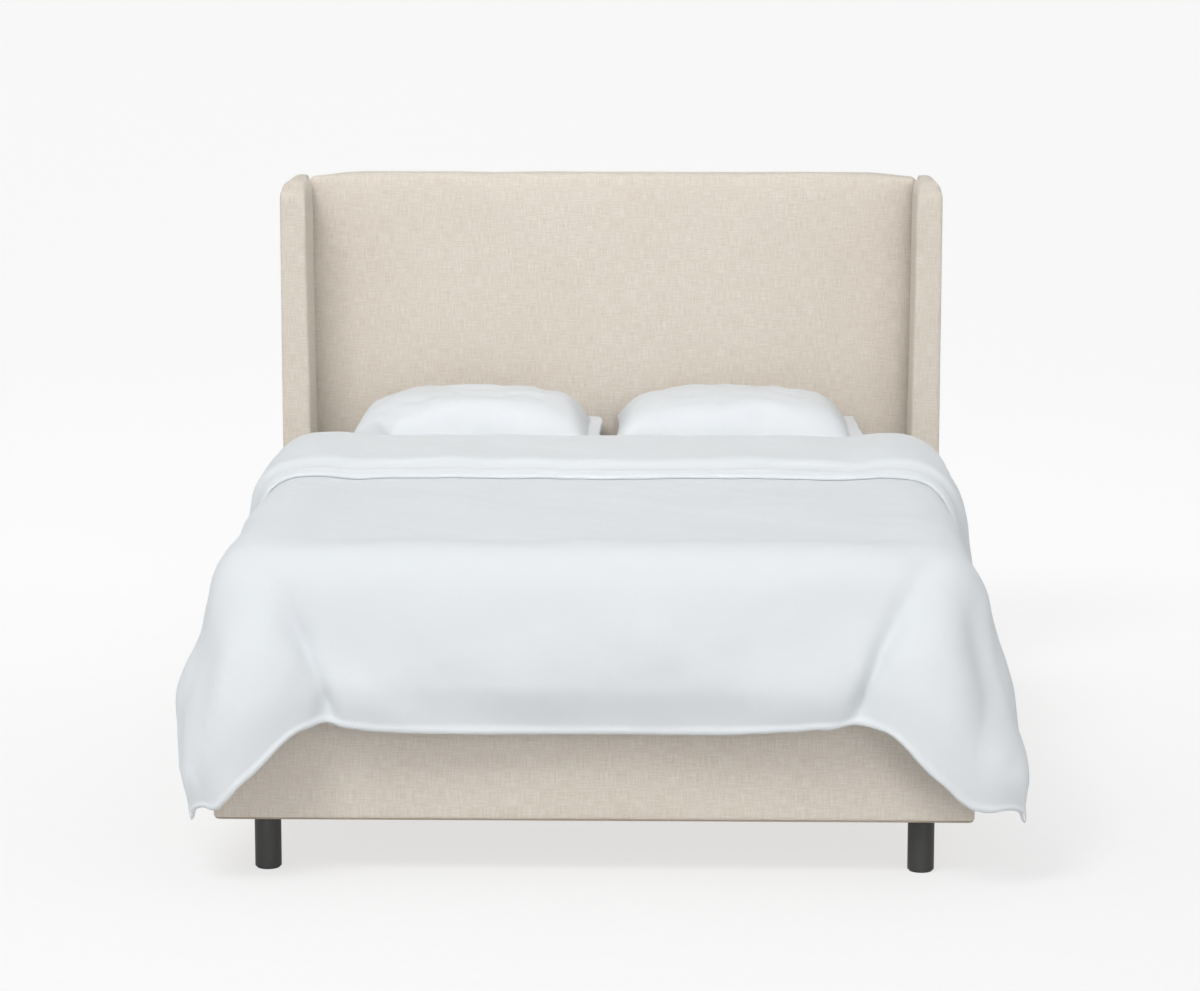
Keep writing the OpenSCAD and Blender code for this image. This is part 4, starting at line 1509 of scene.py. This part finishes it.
@dataclass
class Bed:
    """The mattress and its fitted sheet."""

    corner: float = 0.060
    soft: float = 0.026
    tape: float = 0.0045
    sheet_wall: float = 0.0009
    sheet_area: float = 4.70

    def shoulder(self, steps: int) -> list[tuple[float, float]]:
        """A quarter turn as distances in from the side and from the top or bottom."""
        return [(self.soft * (1 - math.sin(a)), self.soft * (1 - math.cos(a)))
                for a in np.linspace(0, math.pi / 2, steps)]

    def rings(self, low: Array, high: Array, profile: Sequence[tuple[float, float]],
              puff: Callable[[Array, Array], Array] | None = None) -> list[Array]:
        """Rings that follow a profile.

        Args:
            low: low corner.
            high: high corner.
            profile: each ring's distance in from the sides, and its height.
            puff: gives each point's shift, from the ring and the middle, if it has any.

        Returns:
            The rings of points.
        """
        mid, half = (low + high)[:2] / 2, (high - low)[:2] / 2
        made = []
        for inset, z in profile:
            ring = loop(half[0] - inset, half[1] - inset, max(self.corner - inset, 0.004))
            ring = np.column_stack([ring + mid, np.full(len(ring), z)])
            made.append(ring + puff(ring, mid) if puff else ring)
        return made

    def mattress(self) -> bpy.types.Object:
        """The mattress: ticking panels and a quilted border.

        Returns:
            The padded piece.
        """
        low, high = node_box("mattress")
        tall = high[2] - low[2]
        arc = self.shoulder(5)
        profile = [(0.6, low[2]), (0.3, low[2]), (0.1, low[2])]
        profile += [(i + 0.001, low[2] + z) for i, z in arc]
        for part in np.linspace(0.16, 0.84, 9):
            profile.append((0.0015 + 0.0035 * math.sin(part * 14.0) ** 2, low[2] + tall * part))
        profile += [(i + 0.001, high[2] - z) for i, z in reversed(arc)]
        profile += [(0.1, high[2]), (0.3, high[2]), (0.6, high[2])]

        def quilt(ring: Array, mid: Array) -> Array:
            """Upright channels round the border, deepest halfway up."""
            run = np.cumsum(np.linalg.norm(np.diff(ring[:, :2], axis=0, prepend=ring[-1:, :2]),
                                           axis=1))
            way = ring[:, :2] - mid
            way /= np.linalg.norm(way, axis=1, keepdims=True)
            wave = np.abs(np.sin(run * 16.0)) - 1.0
            side = smooth(1 - np.abs(ring[:, 2] - low[2] - tall / 2) / (tall * 0.36))
            return np.column_stack([way * (0.003 * wave * side)[:, None], np.zeros(len(ring))])

        ob = lofted(self.rings(low, high, profile, quilt), (True, True)).piece("sprung_mattress")
        placed(dressed(ob, TICKING), "mattress", "ticking", "mattress")
        return ob

    def tapes(self) -> bpy.types.Object:
        """The binding tape round the mattress's lower edge.

        Returns:
            The piece.
        """
        low, high = node_box("mattress")
        ring = self.rings(low, high, [(0.006, low[2] + 0.016)])[0]
        ob = wire(ring, self.tape, 8).piece("mattress_tape")
        return placed(dressed(ob, SHEETING), "mattress", "ticking")

    def sheet(self, mattress: bpy.types.Object) -> bpy.types.Object:
        """The fitted sheet: tight on top, gathered at its corners and round its hem.

        Args:
            mattress: the piece that it is stretched over; not used.

        Returns:
            The sheet.
        """
        low, high = node_box("fitted_sheet")
        arc = self.shoulder(6)
        profile = [(0.0, z) for z in np.linspace(low[2], high[2] - self.soft, 12)[:-1]]
        profile += [(i, high[2] - z) for i, z in reversed(arc)]
        profile += [(i, high[2]) for i in (0.05, 0.1, 0.18, 0.3, 0.45, 0.6, 0.7, 0.745)]

        def gathers(ring: Array, mid: Array) -> Array:
            """Folds at the corners, a ruffled hem, and a faint unevenness on top."""
            half = (high - low)[:2] / 2
            far = np.abs(ring[:, :2] - mid) - (half - 0.22)
            near = smooth(far[:, 0] / 0.22) * smooth(far[:, 1] / 0.22)
            way = ring[:, :2] - mid
            angle = np.arctan2(way[:, 1], way[:, 0])
            way /= np.linalg.norm(way, axis=1, keepdims=True)
            fold = np.sin(angle * 95.0) * 0.5 + np.sin(angle * 57.0 + 1.0) * 0.5
            depth = 0.0022 * near * smooth((high[2] - 0.01 - ring[:, 2]) / 0.12)
            hem = 0.0008 * np.sin(angle * 160.0) * smooth((low[2] + 0.03 - ring[:, 2]) / 0.03)
            flat = (ring[:, 2] > high[2] - 0.001) * 0.0004
            lift = Ripple(3, 0.25).at(ring[:, :2]) * flat
            push = depth * (fold - 1.0) * 0.5 + hem - 0.0008 * (ring[:, 2] < low[2] + 0.03)
            return np.column_stack([way * push[:, None], lift])

        ob = lofted(self.rings(low, high, profile, gathers), (False, True)).piece("cotton_sheet")
        wall = ob.modifiers.new("cloth", "SOLIDIFY")
        wall.thickness, wall.offset = self.sheet_wall, -1.0
        placed(dressed(ob, SHEETING), "mattress", "cotton_sheet", "fitted_sheet")
        return ob

    def build(self) -> list[bpy.types.Object]:
        """Builds the mattress with its tape and sheet, and gives the pieces."""
        body = self.mattress()
        return [body, self.tapes(), self.sheet(body)]


# ---- headboard


@dataclass
class Headboard:
    """The padded panel, its foam, the back cloth, and the two padded wings."""

    grid: float = 0.0125
    dip: float = 0.012
    dip_reach: float = 0.17
    skin: float = 0.004
    wing_skin: float = 0.0045
    wing_top: float = 0.028
    wing_turn: float = 0.060
    wing_lean: float = 0.011
    back_corner: float = 0.008
    staple_gap: float = 0.045

    def panel_warp(self, inset: float) -> Callable[[Array], Array]:
        """How the panel's face swells and its upper edge falls away at the ends.

        Args:
            inset: how far inside the cover's outer face the warped block lies.

        Returns:
            The warp, on points of a block as large as the cover less the inset.
        """
        low, high = node_box("headboard_cover")
        half = high[0] - inset
        top, front = high[2] - inset, low[1] + inset
        wide = high[0]
        deep = node_box("headboard_plywood")[0][1] - front

        def warp(co: Array) -> Array:
            """Moves the block's points."""
            forward = np.clip(1 - (co[:, 1] - front) / deep, 0.0, 1.0)
            side = np.clip((half - np.abs(co[:, 0])) / 0.14, 0, 1)
            crest = np.clip((top - co[:, 2]) / 0.13, 0, 1)
            fall = (1 - np.sqrt(1 - (1 - side) ** 2)) + 0.75 * (1 - np.sqrt(1 - (1 - crest) ** 2))
            uneven = Ripple(17, 0.7).at(co[:, [0, 2]]) * 0.0022 + 0.0022
            co[:, 1] += smooth(forward) * (fall * 0.017 + uneven)
            end = smooth((np.abs(co[:, 0]) - (wide - self.dip_reach)) / self.dip_reach)
            upper = smooth((co[:, 2] - (top - 0.25)) / 0.25)
            wave = Ripple(19, 0.55).at(co[:, :1]) * 0.0012 - 0.0012
            co[:, 2] -= upper * (self.dip * end ** 1.5 - wave * (inset == 0))
            return co

        return warp

    def panel(self) -> list[bpy.types.Object]:
        """The panel's foam and its linen cover, open at the back over the boards.

        Returns:
            Both pieces.
        """
        low, high = node_box("headboard_cover")
        board = node_box("headboard_plywood")
        rear = node_box("headboard_stile_left")[1][1]
        foam = soft_block(low + (self.skin, self.skin, 0.0005),
                          (high[0] - self.skin, board[0][1] - 0.0005, high[2] - self.skin),
                          (0.016, 0.014, 0.014), 0.03).warped(self.panel_warp(self.skin))
        padding = foam.piece("headboard_padding")
        placed(dressed(padding, FOAM), "frame", "foam", "headboard_foam")
        cover = soft_block(low, high, (0.020, 0.018, 0.020), self.grid, 5)
        cover = cover.warped(self.panel_warp(0.0)).piece("headboard_linen")
        hollow = soft_block(low + (self.skin, self.skin, -0.01),
                            (high[0] - self.skin, board[0][1] + 0.001, high[2] - self.skin),
                            (0.016, 0.014, 0.014), 0.06).warped(self.panel_warp(self.skin))
        stile_top = node_box("headboard_stile_left")[1][2]
        start = 0.9
        sheet = soft_block(np.array([low[0] - 0.004, board[0][1] - 0.0002, low[2] - 0.01]),
                           np.array([high[0] + 0.004, board[1][1] + 0.0002, board[1][2] + 0.0004]),
                           SHARP, 0.02, 1)

        def shoulders(co: Array) -> Array:
            """Lets the board's upper edge fall away with the cover's."""
            end = smooth((np.abs(co[:, 0]) - (high[0] - self.dip_reach)) / self.dip_reach)
            high_up = np.clip((co[:, 2] - start) / (board[1][2] - start), 0, 1)
            co[:, 2] -= self.dip * end ** 1.5 * high_up
            return co

        frame_room = soft_block(np.array([low[0] - 0.004, board[1][1], low[2] - 0.01]),
                                np.array([high[0] + 0.004, rear + 0.01, stile_top + 0.0002]),
                                SHARP, WHOLE, 1)
        carve(cover, (hollow, sheet.warped(shoulders), frame_room))
        placed(dressed(cover, LINEN), "frame", "linen", "headboard_cover")
        return [padding, cover]

    def wing_warp(self, inset: float) -> Callable[[Array], Array]:
        """Shapes a block as the right-hand wing: its lean, its steps and its round top.

        Args:
            inset: how far inside the cover's outer face the warped block lies.

        Returns:
            The warp, on points of a block as large as the cover less the inset.
        """
        low, high = node_box("wing_cover_right")
        core_in = node_box("wing_core_right")[0][0]
        seat = node_box("headboard_cover")
        front, top = low[1] + inset, high[2] - inset
        inner, outer = low[0] + inset, high[0] - inset
        step_y, step_z = seat[0][1], seat[0][2]
        turn, round_top = self.wing_turn - inset, self.wing_top - inset

        def warp(co: Array) -> Array:
            """Moves the block's points."""
            lean = self.wing_lean * np.clip((co[:, 2] - step_z) / (top - step_z), 0, 1)
            behind = (co[:, 1] > step_y - 0.002) | (co[:, 2] < step_z - 0.001)
            inside = np.clip((outer - co[:, 0]) / (outer - inner), 0, 1)
            want = np.where(behind, core_in - 0.0008 - inner, lean)
            co[:, 0] += want * inside
            middle = (inner + lean + outer) / 2
            half = (outer - inner - lean) / 2
            side = np.clip((np.abs(co[:, 0] - middle) - (half - round_top)) / round_top, 0, 1)
            drop = round_top * (1 - np.sqrt(1 - side ** 2))
            up = smooth((co[:, 2] - (top - 0.09)) / 0.085)
            co[:, 2] -= drop * up
            a = (front + turn - co[:, 1]) / turn
            b = (co[:, 2] - (top - turn)) / turn
            corner = (a > 0) & (b > 0)
            far = np.hypot(a, b)
            pull = np.where(corner, np.maximum(a, b) / np.maximum(far, 1e-6), 1.0)
            co[:, 1] = np.where(corner, front + turn - a * pull * turn, co[:, 1])
            co[:, 2] = np.where(corner, top - turn + b * pull * turn, co[:, 2])
            if inset == 0:
                puff = Ripple(31, 0.5).at(co[:, 1:]) * 0.0012 - 0.0012
                face = smooth(inside * 6 - 5) * (~behind)
                co[:, 0] -= puff * face
            return co

        return warp

    def wing_block(self, inset: float, back: float, grid: float) -> Shape:
        """The right-hand wing's outer face, or its hollow.

        Args:
            inset: how far inside the cover's outer face it lies.
            back: the Y where it ends.
            grid: spacing of its points.

        Returns:
            The shape.
        """
        low, high = node_box("wing_cover_right")
        seat = node_box("headboard_cover")[0]
        start = low + inset
        end = np.array([high[0] - inset, back, high[2] - inset])
        block = soft_block(start, end, (0.010, 0.008, 0.008), grid, 4)
        for axis, marks in ((1, (seat[1] - 0.0005, seat[1] - 0.0035)),
                            (2, (seat[2] - 0.0018, seat[2] + 0.0005))):
            values = np.unique(np.round(block.co[:, axis], 6))
            for mark in marks:
                nearest = values[np.argmin(np.abs(values - mark))]
                block.co[np.abs(block.co[:, axis] - nearest) < 1e-5, axis] = mark
                values = values[values != nearest]
        return block.warped(self.wing_warp(inset))

    def wing_foam(self, side: Side) -> bpy.types.Object:
        """The foam on a wing's inner face.

        Args:
            side: which wing.

        Returns:
            The padded piece.
        """
        low, high = node_box("wing_cover_right")
        seat = node_box("headboard_cover")[0]
        core_in = node_box("wing_core_right")[0][0]
        inset = self.wing_skin + 0.0006
        block = soft_block(np.array([low[0] + inset, low[1] + inset, seat[2] + inset]),
                           np.array([core_in - 0.0006, seat[1] - inset, high[2] - inset]),
                           (0.004, 0.004, 0.004), 0.02)
        shape = block.warped(self.wing_warp(inset))
        shape.co[:, 0] = np.minimum(shape.co[:, 0], core_in - 0.0004)
        if side is Side.LEFT:
            shape = shape.mirrored()
        ob = shape.piece(f"wing_padding_{side.word}")
        placed(dressed(ob, FOAM), "frame", "foam", f"wing_foam_{side.word}")
        return ob

    def wing(self, side: Side) -> bpy.types.Object:
        """One wing's linen cover, hollow round its board and its foam.

        Args:
            side: which wing.

        Returns:
            The padded piece.
        """
        rear = node_box("wing_cover_right")[1][1]
        outer = self.wing_block(0.0, rear, self.grid)
        inner = self.wing_block(self.wing_skin, rear + 0.01, 0.03)
        if side is Side.LEFT:
            outer, inner = outer.mirrored(), inner.mirrored()
        ob = outer.piece(f"wing_linen_{side.word}")
        carve(ob, (inner,))
        placed(dressed(ob, LINEN), "frame", "linen", f"wing_cover_{side.word}")
        return ob

    def back(self) -> list[bpy.types.Object]:
        """The back cloth with its border of welt and its staples.

        Returns:
            The three pieces.
        """
        low, high = node_box("headboard_back_cover")
        half, round_end = high[0], self.back_corner
        turn = np.linspace(0, math.pi / 2, 7)
        arc = np.stack([np.cos(turn), np.sin(turn)], -1) * round_end
        upper = arc + (half - round_end, high[2] - round_end)
        lower = arc[::-1] * (1, -1) + (half - round_end, low[2] + round_end)
        right = np.vstack([lower, upper])
        outline = np.vstack([right, right[::-1] * (-1, 1)])
        outline = evened(outline, 0.02)
        rings = []
        for inset, y in ((0.0, low[1]), (0.0, high[1] - 0.0006), (0.0012, high[1]),
                         (0.20, high[1]), (0.45, high[1])):
            ring = shrunk(outline, inset)
            wave = Ripple(23, 0.4).at(ring) * 0.0004 * (inset > 0.1)
            rings.append(np.column_stack([ring[:, 0], y + wave - 0.0004 * (inset > 0.1),
                                          ring[:, 1]]))
        turned = [np.stack([r[:, 0], r[:, 2], r[:, 1]], -1) for r in rings]
        shape = lofted(turned, (True, True))
        co = np.stack([shape.co[:, 0], shape.co[:, 2], shape.co[:, 1]], -1)
        cloth = Shape(co, [f[::-1] for f in shape.faces], shape.uv).piece("back_cloth")
        edge = shrunk(outline, 0.006)
        path = np.column_stack([edge[:, 0], np.full(len(edge), high[1]), edge[:, 1]])
        welt = wire(path, 0.0022, 8).piece("back_welt")
        spot = shrunk(outline, 0.016)
        row = np.column_stack([spot[:, 0], np.full(len(spot), high[1] + 0.0002), spot[:, 1]])
        pins = staples("back_staples", row, self.staple_gap, (0.0, 1.0, 0.0))
        placed(dressed(cloth, DUST_CLOTH), "frame", "linen", "headboard_back_cover")
        placed(dressed(welt, LINEN), "frame", "linen")
        placed(pins, "frame", "zinc_steel")
        return [cloth, welt, pins]

    def build(self) -> list[bpy.types.Object]:
        """The whole headboard."""
        return (self.panel() + [self.wing_foam(side) for side in Side]
                + [self.wing(side) for side in Side] + self.back())


def evened(outline: Array, step: float) -> Array:
    """A closed outline with more points on its long stretches.

    Args:
        outline: its points.
        step: about how far apart the new points lie.

    Returns:
        The points.
    """
    out = []
    for a, b in zip(outline, np.roll(outline, -1, axis=0)):
        count = max(1, int(np.linalg.norm(b - a) / step))
        out += [a + (b - a) * k / count for k in range(count)]
    return np.array(out)


def shrunk(outline: Array, inset: float) -> Array:
    """An outline drawn in on every side.

    Args:
        outline: its points.
        inset: how far its sides move in.

    Returns:
        The points.
    """
    mid = (outline.min(0) + outline.max(0)) / 2
    half = (outline.max(0) - outline.min(0)) / 2
    return mid + (outline - mid) * (1 - inset / half)


def staples(name: str, row: Array, gap: float, out: Sequence[float]) -> bpy.types.Object:
    """Staples set by Geometry Nodes along a closed row of points.

    Args:
        name: the piece's name.
        row: points that the staples lie on.
        gap: distance between staples.
        out: the direction that the staples' crowns stand out in.

    Returns:
        One mesh of all the staples.
    """
    half, leg, r = 0.005, 0.0016, 0.00045
    crown = np.array([[-half, 0, -leg], [-half, 0, 0], [-half + 0.001, 0, 0.0006],
                      [half - 0.001, 0, 0.0006], [half, 0, 0], [half, 0, -leg]])
    pattern = wire(crown, r, 5, closed=False).piece(name + "_pattern")
    mesh = bpy.data.meshes.new(name)
    mesh.from_pydata(row.tolist(), [(i, (i + 1) % len(row)) for i in range(len(row))], [])
    ob = bpy.data.objects.new(name, mesh)
    bpy.context.scene.collection.objects.link(ob)
    tree = bpy.data.node_groups.new(name, "GeometryNodeTree")
    face = tree.interface
    face.new_socket("Geometry", in_out="INPUT", socket_type="NodeSocketGeometry")
    sockets = {label: face.new_socket(label, in_out="INPUT", socket_type=kind).identifier
               for label, kind in (("Gap", FLOAT), ("Staple", "NodeSocketObject"),
                                   ("Outward", VECTOR), ("Finish", "NodeSocketMaterial"),
                                   ("Seed", "NodeSocketInt"))}
    face.new_socket("Geometry", in_out="OUTPUT", socket_type="NodeSocketGeometry")
    g = Graph(tree)
    given, result = g.add("NodeGroupInput"), g.add("NodeGroupOutput")
    curve = g.add("GeometryNodeMeshToCurve")
    points = g.add("GeometryNodeCurveToPoints", mode="LENGTH")
    along = g.add("FunctionNodeAlignEulerToVector", axis="X")
    upright = g.add("FunctionNodeAlignEulerToVector", axis="Z", pivot_axis="X")
    info = g.add("GeometryNodeObjectInfo")
    spread = g.add("GeometryNodeInstanceOnPoints")
    askew = g.add("FunctionNodeRandomValue", data_type="FLOAT")
    wobble = g.add("FunctionNodeRotateEuler", rotation_type="AXIS_ANGLE", space="LOCAL")
    solid, finish = g.add("GeometryNodeRealizeInstances"), g.add("GeometryNodeSetMaterial")
    askew.inputs[2].default_value, askew.inputs[3].default_value = -0.12, 0.12
    wobble.inputs["Axis"].default_value = (0.0, 0.0, 1.0)
    for source, output, node, entry in (
            (given, "Geometry", curve, "Mesh"), (curve, "Curve", points, "Curve"),
            (given, "Gap", points, "Length"), (points, "Tangent", along, "Vector"),
            (along, "Rotation", upright, "Rotation"), (given, "Outward", upright, "Vector"),
            (upright, "Rotation", wobble, "Rotation"), (given, "Seed", askew, "Seed"),
            (askew, 1, wobble, "Angle"), (given, "Staple", info, "Object"),
            (points, "Points", spread, "Points"), (info, "Geometry", spread, "Instance"),
            (wobble, "Rotation", spread, "Rotation"), (spread, "Instances", solid, "Geometry"),
            (solid, "Geometry", finish, "Geometry"), (given, "Finish", finish, "Material"),
            (finish, "Geometry", result, 0)):
        tree.links.new(source.outputs[output], node.inputs[entry])
    work = ob.modifiers.new("staples", "NODES")
    work.node_group = tree
    for label, value in (("Gap", gap), ("Staple", pattern), ("Outward", tuple(out)),
                         ("Finish", STOCK.of(ZINC)), ("Seed", 7)):
        work[sockets[label]] = value
    settle(ob)
    discard(pattern)
    return ob


# ---- rails


@dataclass
class Rails:
    """The padded linen covers of the two side rails and the foot rail."""

    grid: float = 0.02
    skin: float = 0.003
    welt: float = 0.0026
    welt_inset: float = 0.0045
    welt_turn: float = 0.012

    def cover(self, node: str, board: str, radius: tuple[float, float, float]
              ) -> bpy.types.Object:
        """One rail's cover, hollow over its board.

        Args:
            node: the cover's node.
            board: the board's node.
            radius: edge radius along X, Y and Z.

        Returns:
            The padded piece.
        """
        low, high = node_box(node)
        b_low, b_high = node_box(board)
        block = soft_block(low, high, radius, self.grid, 5)

        def sag(co: Array) -> Array:
            """Lets the cover's broad faces sink and swell a little."""
            tall = np.clip((co[:, 2] - low[2]) / (high[2] - low[2]), 0, 1)
            ends = np.minimum(co[:, :2] - low[:2], high[:2] - co[:, :2]).min(1)
            give = Ripple(13, 0.5).at(co) * 0.0009 - 0.0009
            give *= 4 * tall * (1 - tall)
            thin = int(np.argmin(high - low))
            face = co[:, thin] - (low + high)[thin] / 2
            co[:, thin] += np.sign(face) * give * (ends < 0.002)
            return co

        ob = block.warped(sag).piece(node.replace("cover", "linen"))
        room = 0.0002
        carve(ob, [soft_block(b_low - room, b_high + room, SHARP, WHOLE, 1)])
        placed(dressed(ob, LINEN), "frame", "linen", node)
        return ob

    def build(self) -> list[bpy.types.Object]:
        """The covers, and the welt round the rails' lower edge, whose dark tone is painted shade
        along that edge.

        Returns:
            The pieces.
        """
        made = [self.cover(f"side_rail_cover_{s.word}", f"side_rail_{s.word}",
                           (0.006, 0.004, 0.007)) for s in Side]
        made.append(self.cover("foot_rail_cover", "foot_rail", (0.012, 0.010, 0.007)))
        low, high = node_box("foot_rail_cover")
        rear = node_box("side_rail_cover_left")[1][1]
        inset, r = self.welt_inset, self.welt_turn
        turn = np.linspace(0, math.pi / 2, 6)[:, None]
        right = np.array([high[0] - inset - r, low[1] + inset + r]) + r * np.hstack(
            [np.sin(turn), -np.cos(turn)])
        path = np.vstack([[[high[0] - inset, rear]], right[::-1]])
        path = np.vstack([path, path[::-1] * (-1, 1)])
        path = np.column_stack([path, np.full(len(path), low[2] + 0.0006)])
        # The welt's dark finish paints the shadow line under the rails' lower edge.
        welt = wire(path, self.welt, 8, closed=False).piece("rail_welt")
        placed(dressed(welt, WELT_PAINTED_SHADE), "frame", "linen")
        return made + [welt]


# ---- hard pieces


@dataclass
class HardParts:
    """Finishes for the frame's boards, legs and steel, which keep their own shapes."""

    def finish_for(self, node: str) -> Finish | None:
        """Finds a frame node's finish.

        Args:
            node: the node's name.

        Returns:
            The finish, or None for a node that only has a cover in its place.
        """
        kinds: tuple[tuple[tuple[str, ...], Finish], ...] = (
            (("leg_foot", "leg_head"), BLACK_WOOD),
            (("leg_glides", "centre_glide"), PLASTIC),
            (("leg_plates", "leg_bolts", "rail_hooks", "hook_sockets", "frame_bolts",
              "hardware_screws", "beam_saddles"), ZINC),
            (("headboard_plywood", "wing_core"), PLY),
            (("headboard_foam", "wing_foam"), FOAM),
            (("headboard_stile", "centre_post", "corner_block"), PINE[Grain.ALONG_Z]),
            (("side_rail", "slat_ledger", "centre_beam"), PINE[Grain.ALONG_Y]),
            (("slat_", "foot_rail", "headboard_"), PINE[Grain.ALONG_X]),
        )
        for starts, finish in kinds:
            if node.startswith(starts):
                return finish
        return None

    def dress(self) -> None:
        """Puts a finish on every frame node that stays in sight."""
        for name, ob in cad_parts.items():
            finish = self.finish_for(name)
            if finish and "cover" not in name:
                dressed(ob, finish)
                log.info("%s keeps its shape, in %s", name, finish.name)


# ---- camera, lights


@dataclass(frozen=True)
class Lamp:
    """A soft area light that looks at the bed."""

    name: str
    place: tuple[float, float, float]
    size: tuple[float, float]
    power: float
    spread: float = 180.0

    def build(self, target: Vector) -> None:
        """Adds the light.

        Args:
            target: the point that it looks at.
        """
        data = bpy.data.lights.new(self.name, "AREA")
        data.shape, data.size, data.size_y = "RECTANGLE", *self.size
        data.energy, data.spread = self.power, math.radians(self.spread)
        ob = bpy.data.objects.new(self.name, data)
        ob.location = self.place
        ob.rotation_euler = (target - ob.location).to_track_quat("-Z", "Y").to_euler()
        bpy.context.scene.collection.objects.link(ob)


@dataclass
class Studio:
    """The pale floor that sweeps up behind, the lights and the camera."""

    eye: tuple[float, float, float] = (0.1786, -8.545, 2.029)
    pitch: float = 0.1598
    yaw: float = 0.0219
    lens: float = 108.8
    sensor: float = 36.0
    floor_tone: Colour = (0.22, 0.22, 0.22)
    glow: float = 0.75
    glow_near: float = 0.675
    glow_run: tuple[float, float] = (-0.8, 2.6)
    spill: float = 0.62
    world_power: float = 0.67

    def camera(self) -> None:
        """The camera, in front of the foot and a little above the headboard."""
        data = bpy.data.cameras.new("camera")
        data.lens, data.sensor_width = self.lens, self.sensor
        ob = bpy.data.objects.new("camera", data)
        ob.location = self.eye
        way = Vector((-math.sin(self.yaw) * math.cos(self.pitch),
                      math.cos(self.yaw) * math.cos(self.pitch), -math.sin(self.pitch)))
        ob.rotation_euler = way.to_track_quat("-Z", "Y").to_euler()
        bpy.context.scene.collection.objects.link(ob)
        bpy.context.scene.camera = ob

    def backdrop(self) -> None:
        """The floor and its cove, one smooth sheet all round the bed."""
        reach, bend, tall = 7.0, 3.0, 8.0
        profile = [(r, 0.0) for r in (0.02, 1.2, 2.4, 3.6, 5.0, reach)]
        profile += [(reach + bend * math.sin(a), bend * (1 - math.cos(a)))
                    for a in np.linspace(0, math.pi / 2, 12)[1:]]
        profile.append((reach + bend, tall))
        turn = np.linspace(0, math.tau, 72, endpoint=False)
        rings = [np.column_stack([r * np.cos(turn), r * np.sin(turn), np.full(72, z)])
                 for r, z in profile]
        ob = lofted(rings[::-1], (False, True)).piece("studio_floor")
        paper = Grit("pale_floor", self.floor_tone, tuple(0.985 * c for c in self.floor_tone),
                     0.9, cells=40.0, depth=0.00002)
        self.lit(dressed(ob, paper).data.materials[0].node_tree)

    def lit(self, tree: bpy.types.NodeTree) -> None:
        """Makes the floor glow, brightest to the camera, and lets the camera see in from outside.

        Args:
            tree: the floor's material tree.
        """
        shader = tree.nodes["Principled BSDF"]
        shader.inputs["Emission Color"].default_value = (1.0, 1.0, 1.0, 1.0)
        graph = Graph(tree)
        seen = graph.add("ShaderNodeLightPath").outputs["Is Camera Ray"]
        place = graph.add("ShaderNodeSeparateXYZ",
                          Vector=graph.add("ShaderNodeTexCoord").outputs["Object"])
        shown = graph.ranged(place.outputs["Y"], *self.glow_run, self.glow_near, self.glow)
        lit = graph.ranged(seen, 0.0, 1.0, self.spill, 1.0)
        glow = graph.sums("MULTIPLY", shown, lit)
        tree.links.new(glow, shader.inputs["Emission Strength"])
        behind = graph.add("ShaderNodeNewGeometry").outputs["Backfacing"]
        through = graph.add("ShaderNodeMixShader", i0=graph.sums("MULTIPLY", seen, behind),
                            i1=shader.outputs[0])
        tree.links.new(graph.add("ShaderNodeBsdfTransparent").outputs[0], through.inputs[2])
        tree.links.new(through.outputs[0], tree.nodes["Material Output"].inputs["Surface"])

    def build(self) -> None:
        """The whole studio."""
        scene = bpy.context.scene
        world = bpy.data.worlds.new("studio_air")
        world.use_nodes = True
        sky = world.node_tree.nodes["Background"]
        sky.inputs["Color"].default_value = (1.0, 1.0, 1.0, 1.0)
        sky.inputs["Strength"].default_value = self.world_power
        scene.world = world
        scene.view_settings.view_transform = "Standard"
        scene.view_settings.look = "None"
        self.backdrop()
        self.camera()
        target = Vector((0.0, 0.0, 0.6))
        Lamp("key", (-3.0, -5.4, 7.9), (3.4, 3.4), 440.0).build(target)
        Lamp("fill", (3.6, -8.2, 2.8), (4.0, 3.0), 90.0).build(target)
        Lamp("board", (1.5, -6.0, 4.2), (1.6, 1.0), 3.7, spread=28.0).build(
            Vector((-0.1, 1.05, 1.15)))
        Lamp("rail", (0.0, -6.5, 0.3), (2.6, 0.3), 0.6, spread=12.0).build(
            Vector((0.0, -1.0, 0.14)))


def main() -> None:
    """Builds and dresses the bed, then sets it in the studio."""
    logging.basicConfig(level=logging.INFO, format="%(name)s: %(message)s")
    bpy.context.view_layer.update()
    Studio().build()
    HardParts().dress()
    made: list[bpy.types.Object] = []
    made += Rails().build()
    made += Headboard().build()
    made += Bed().build()
    made.append(Duvet().build())
    for pillow in (Pillow(Side.LEFT, 61, 0.06), Pillow(Side.RIGHT, 83, 0.0)):
        made += pillow.build()
    log.info("%d pieces made", len(made))


if __name__ == "__main__":
    main()
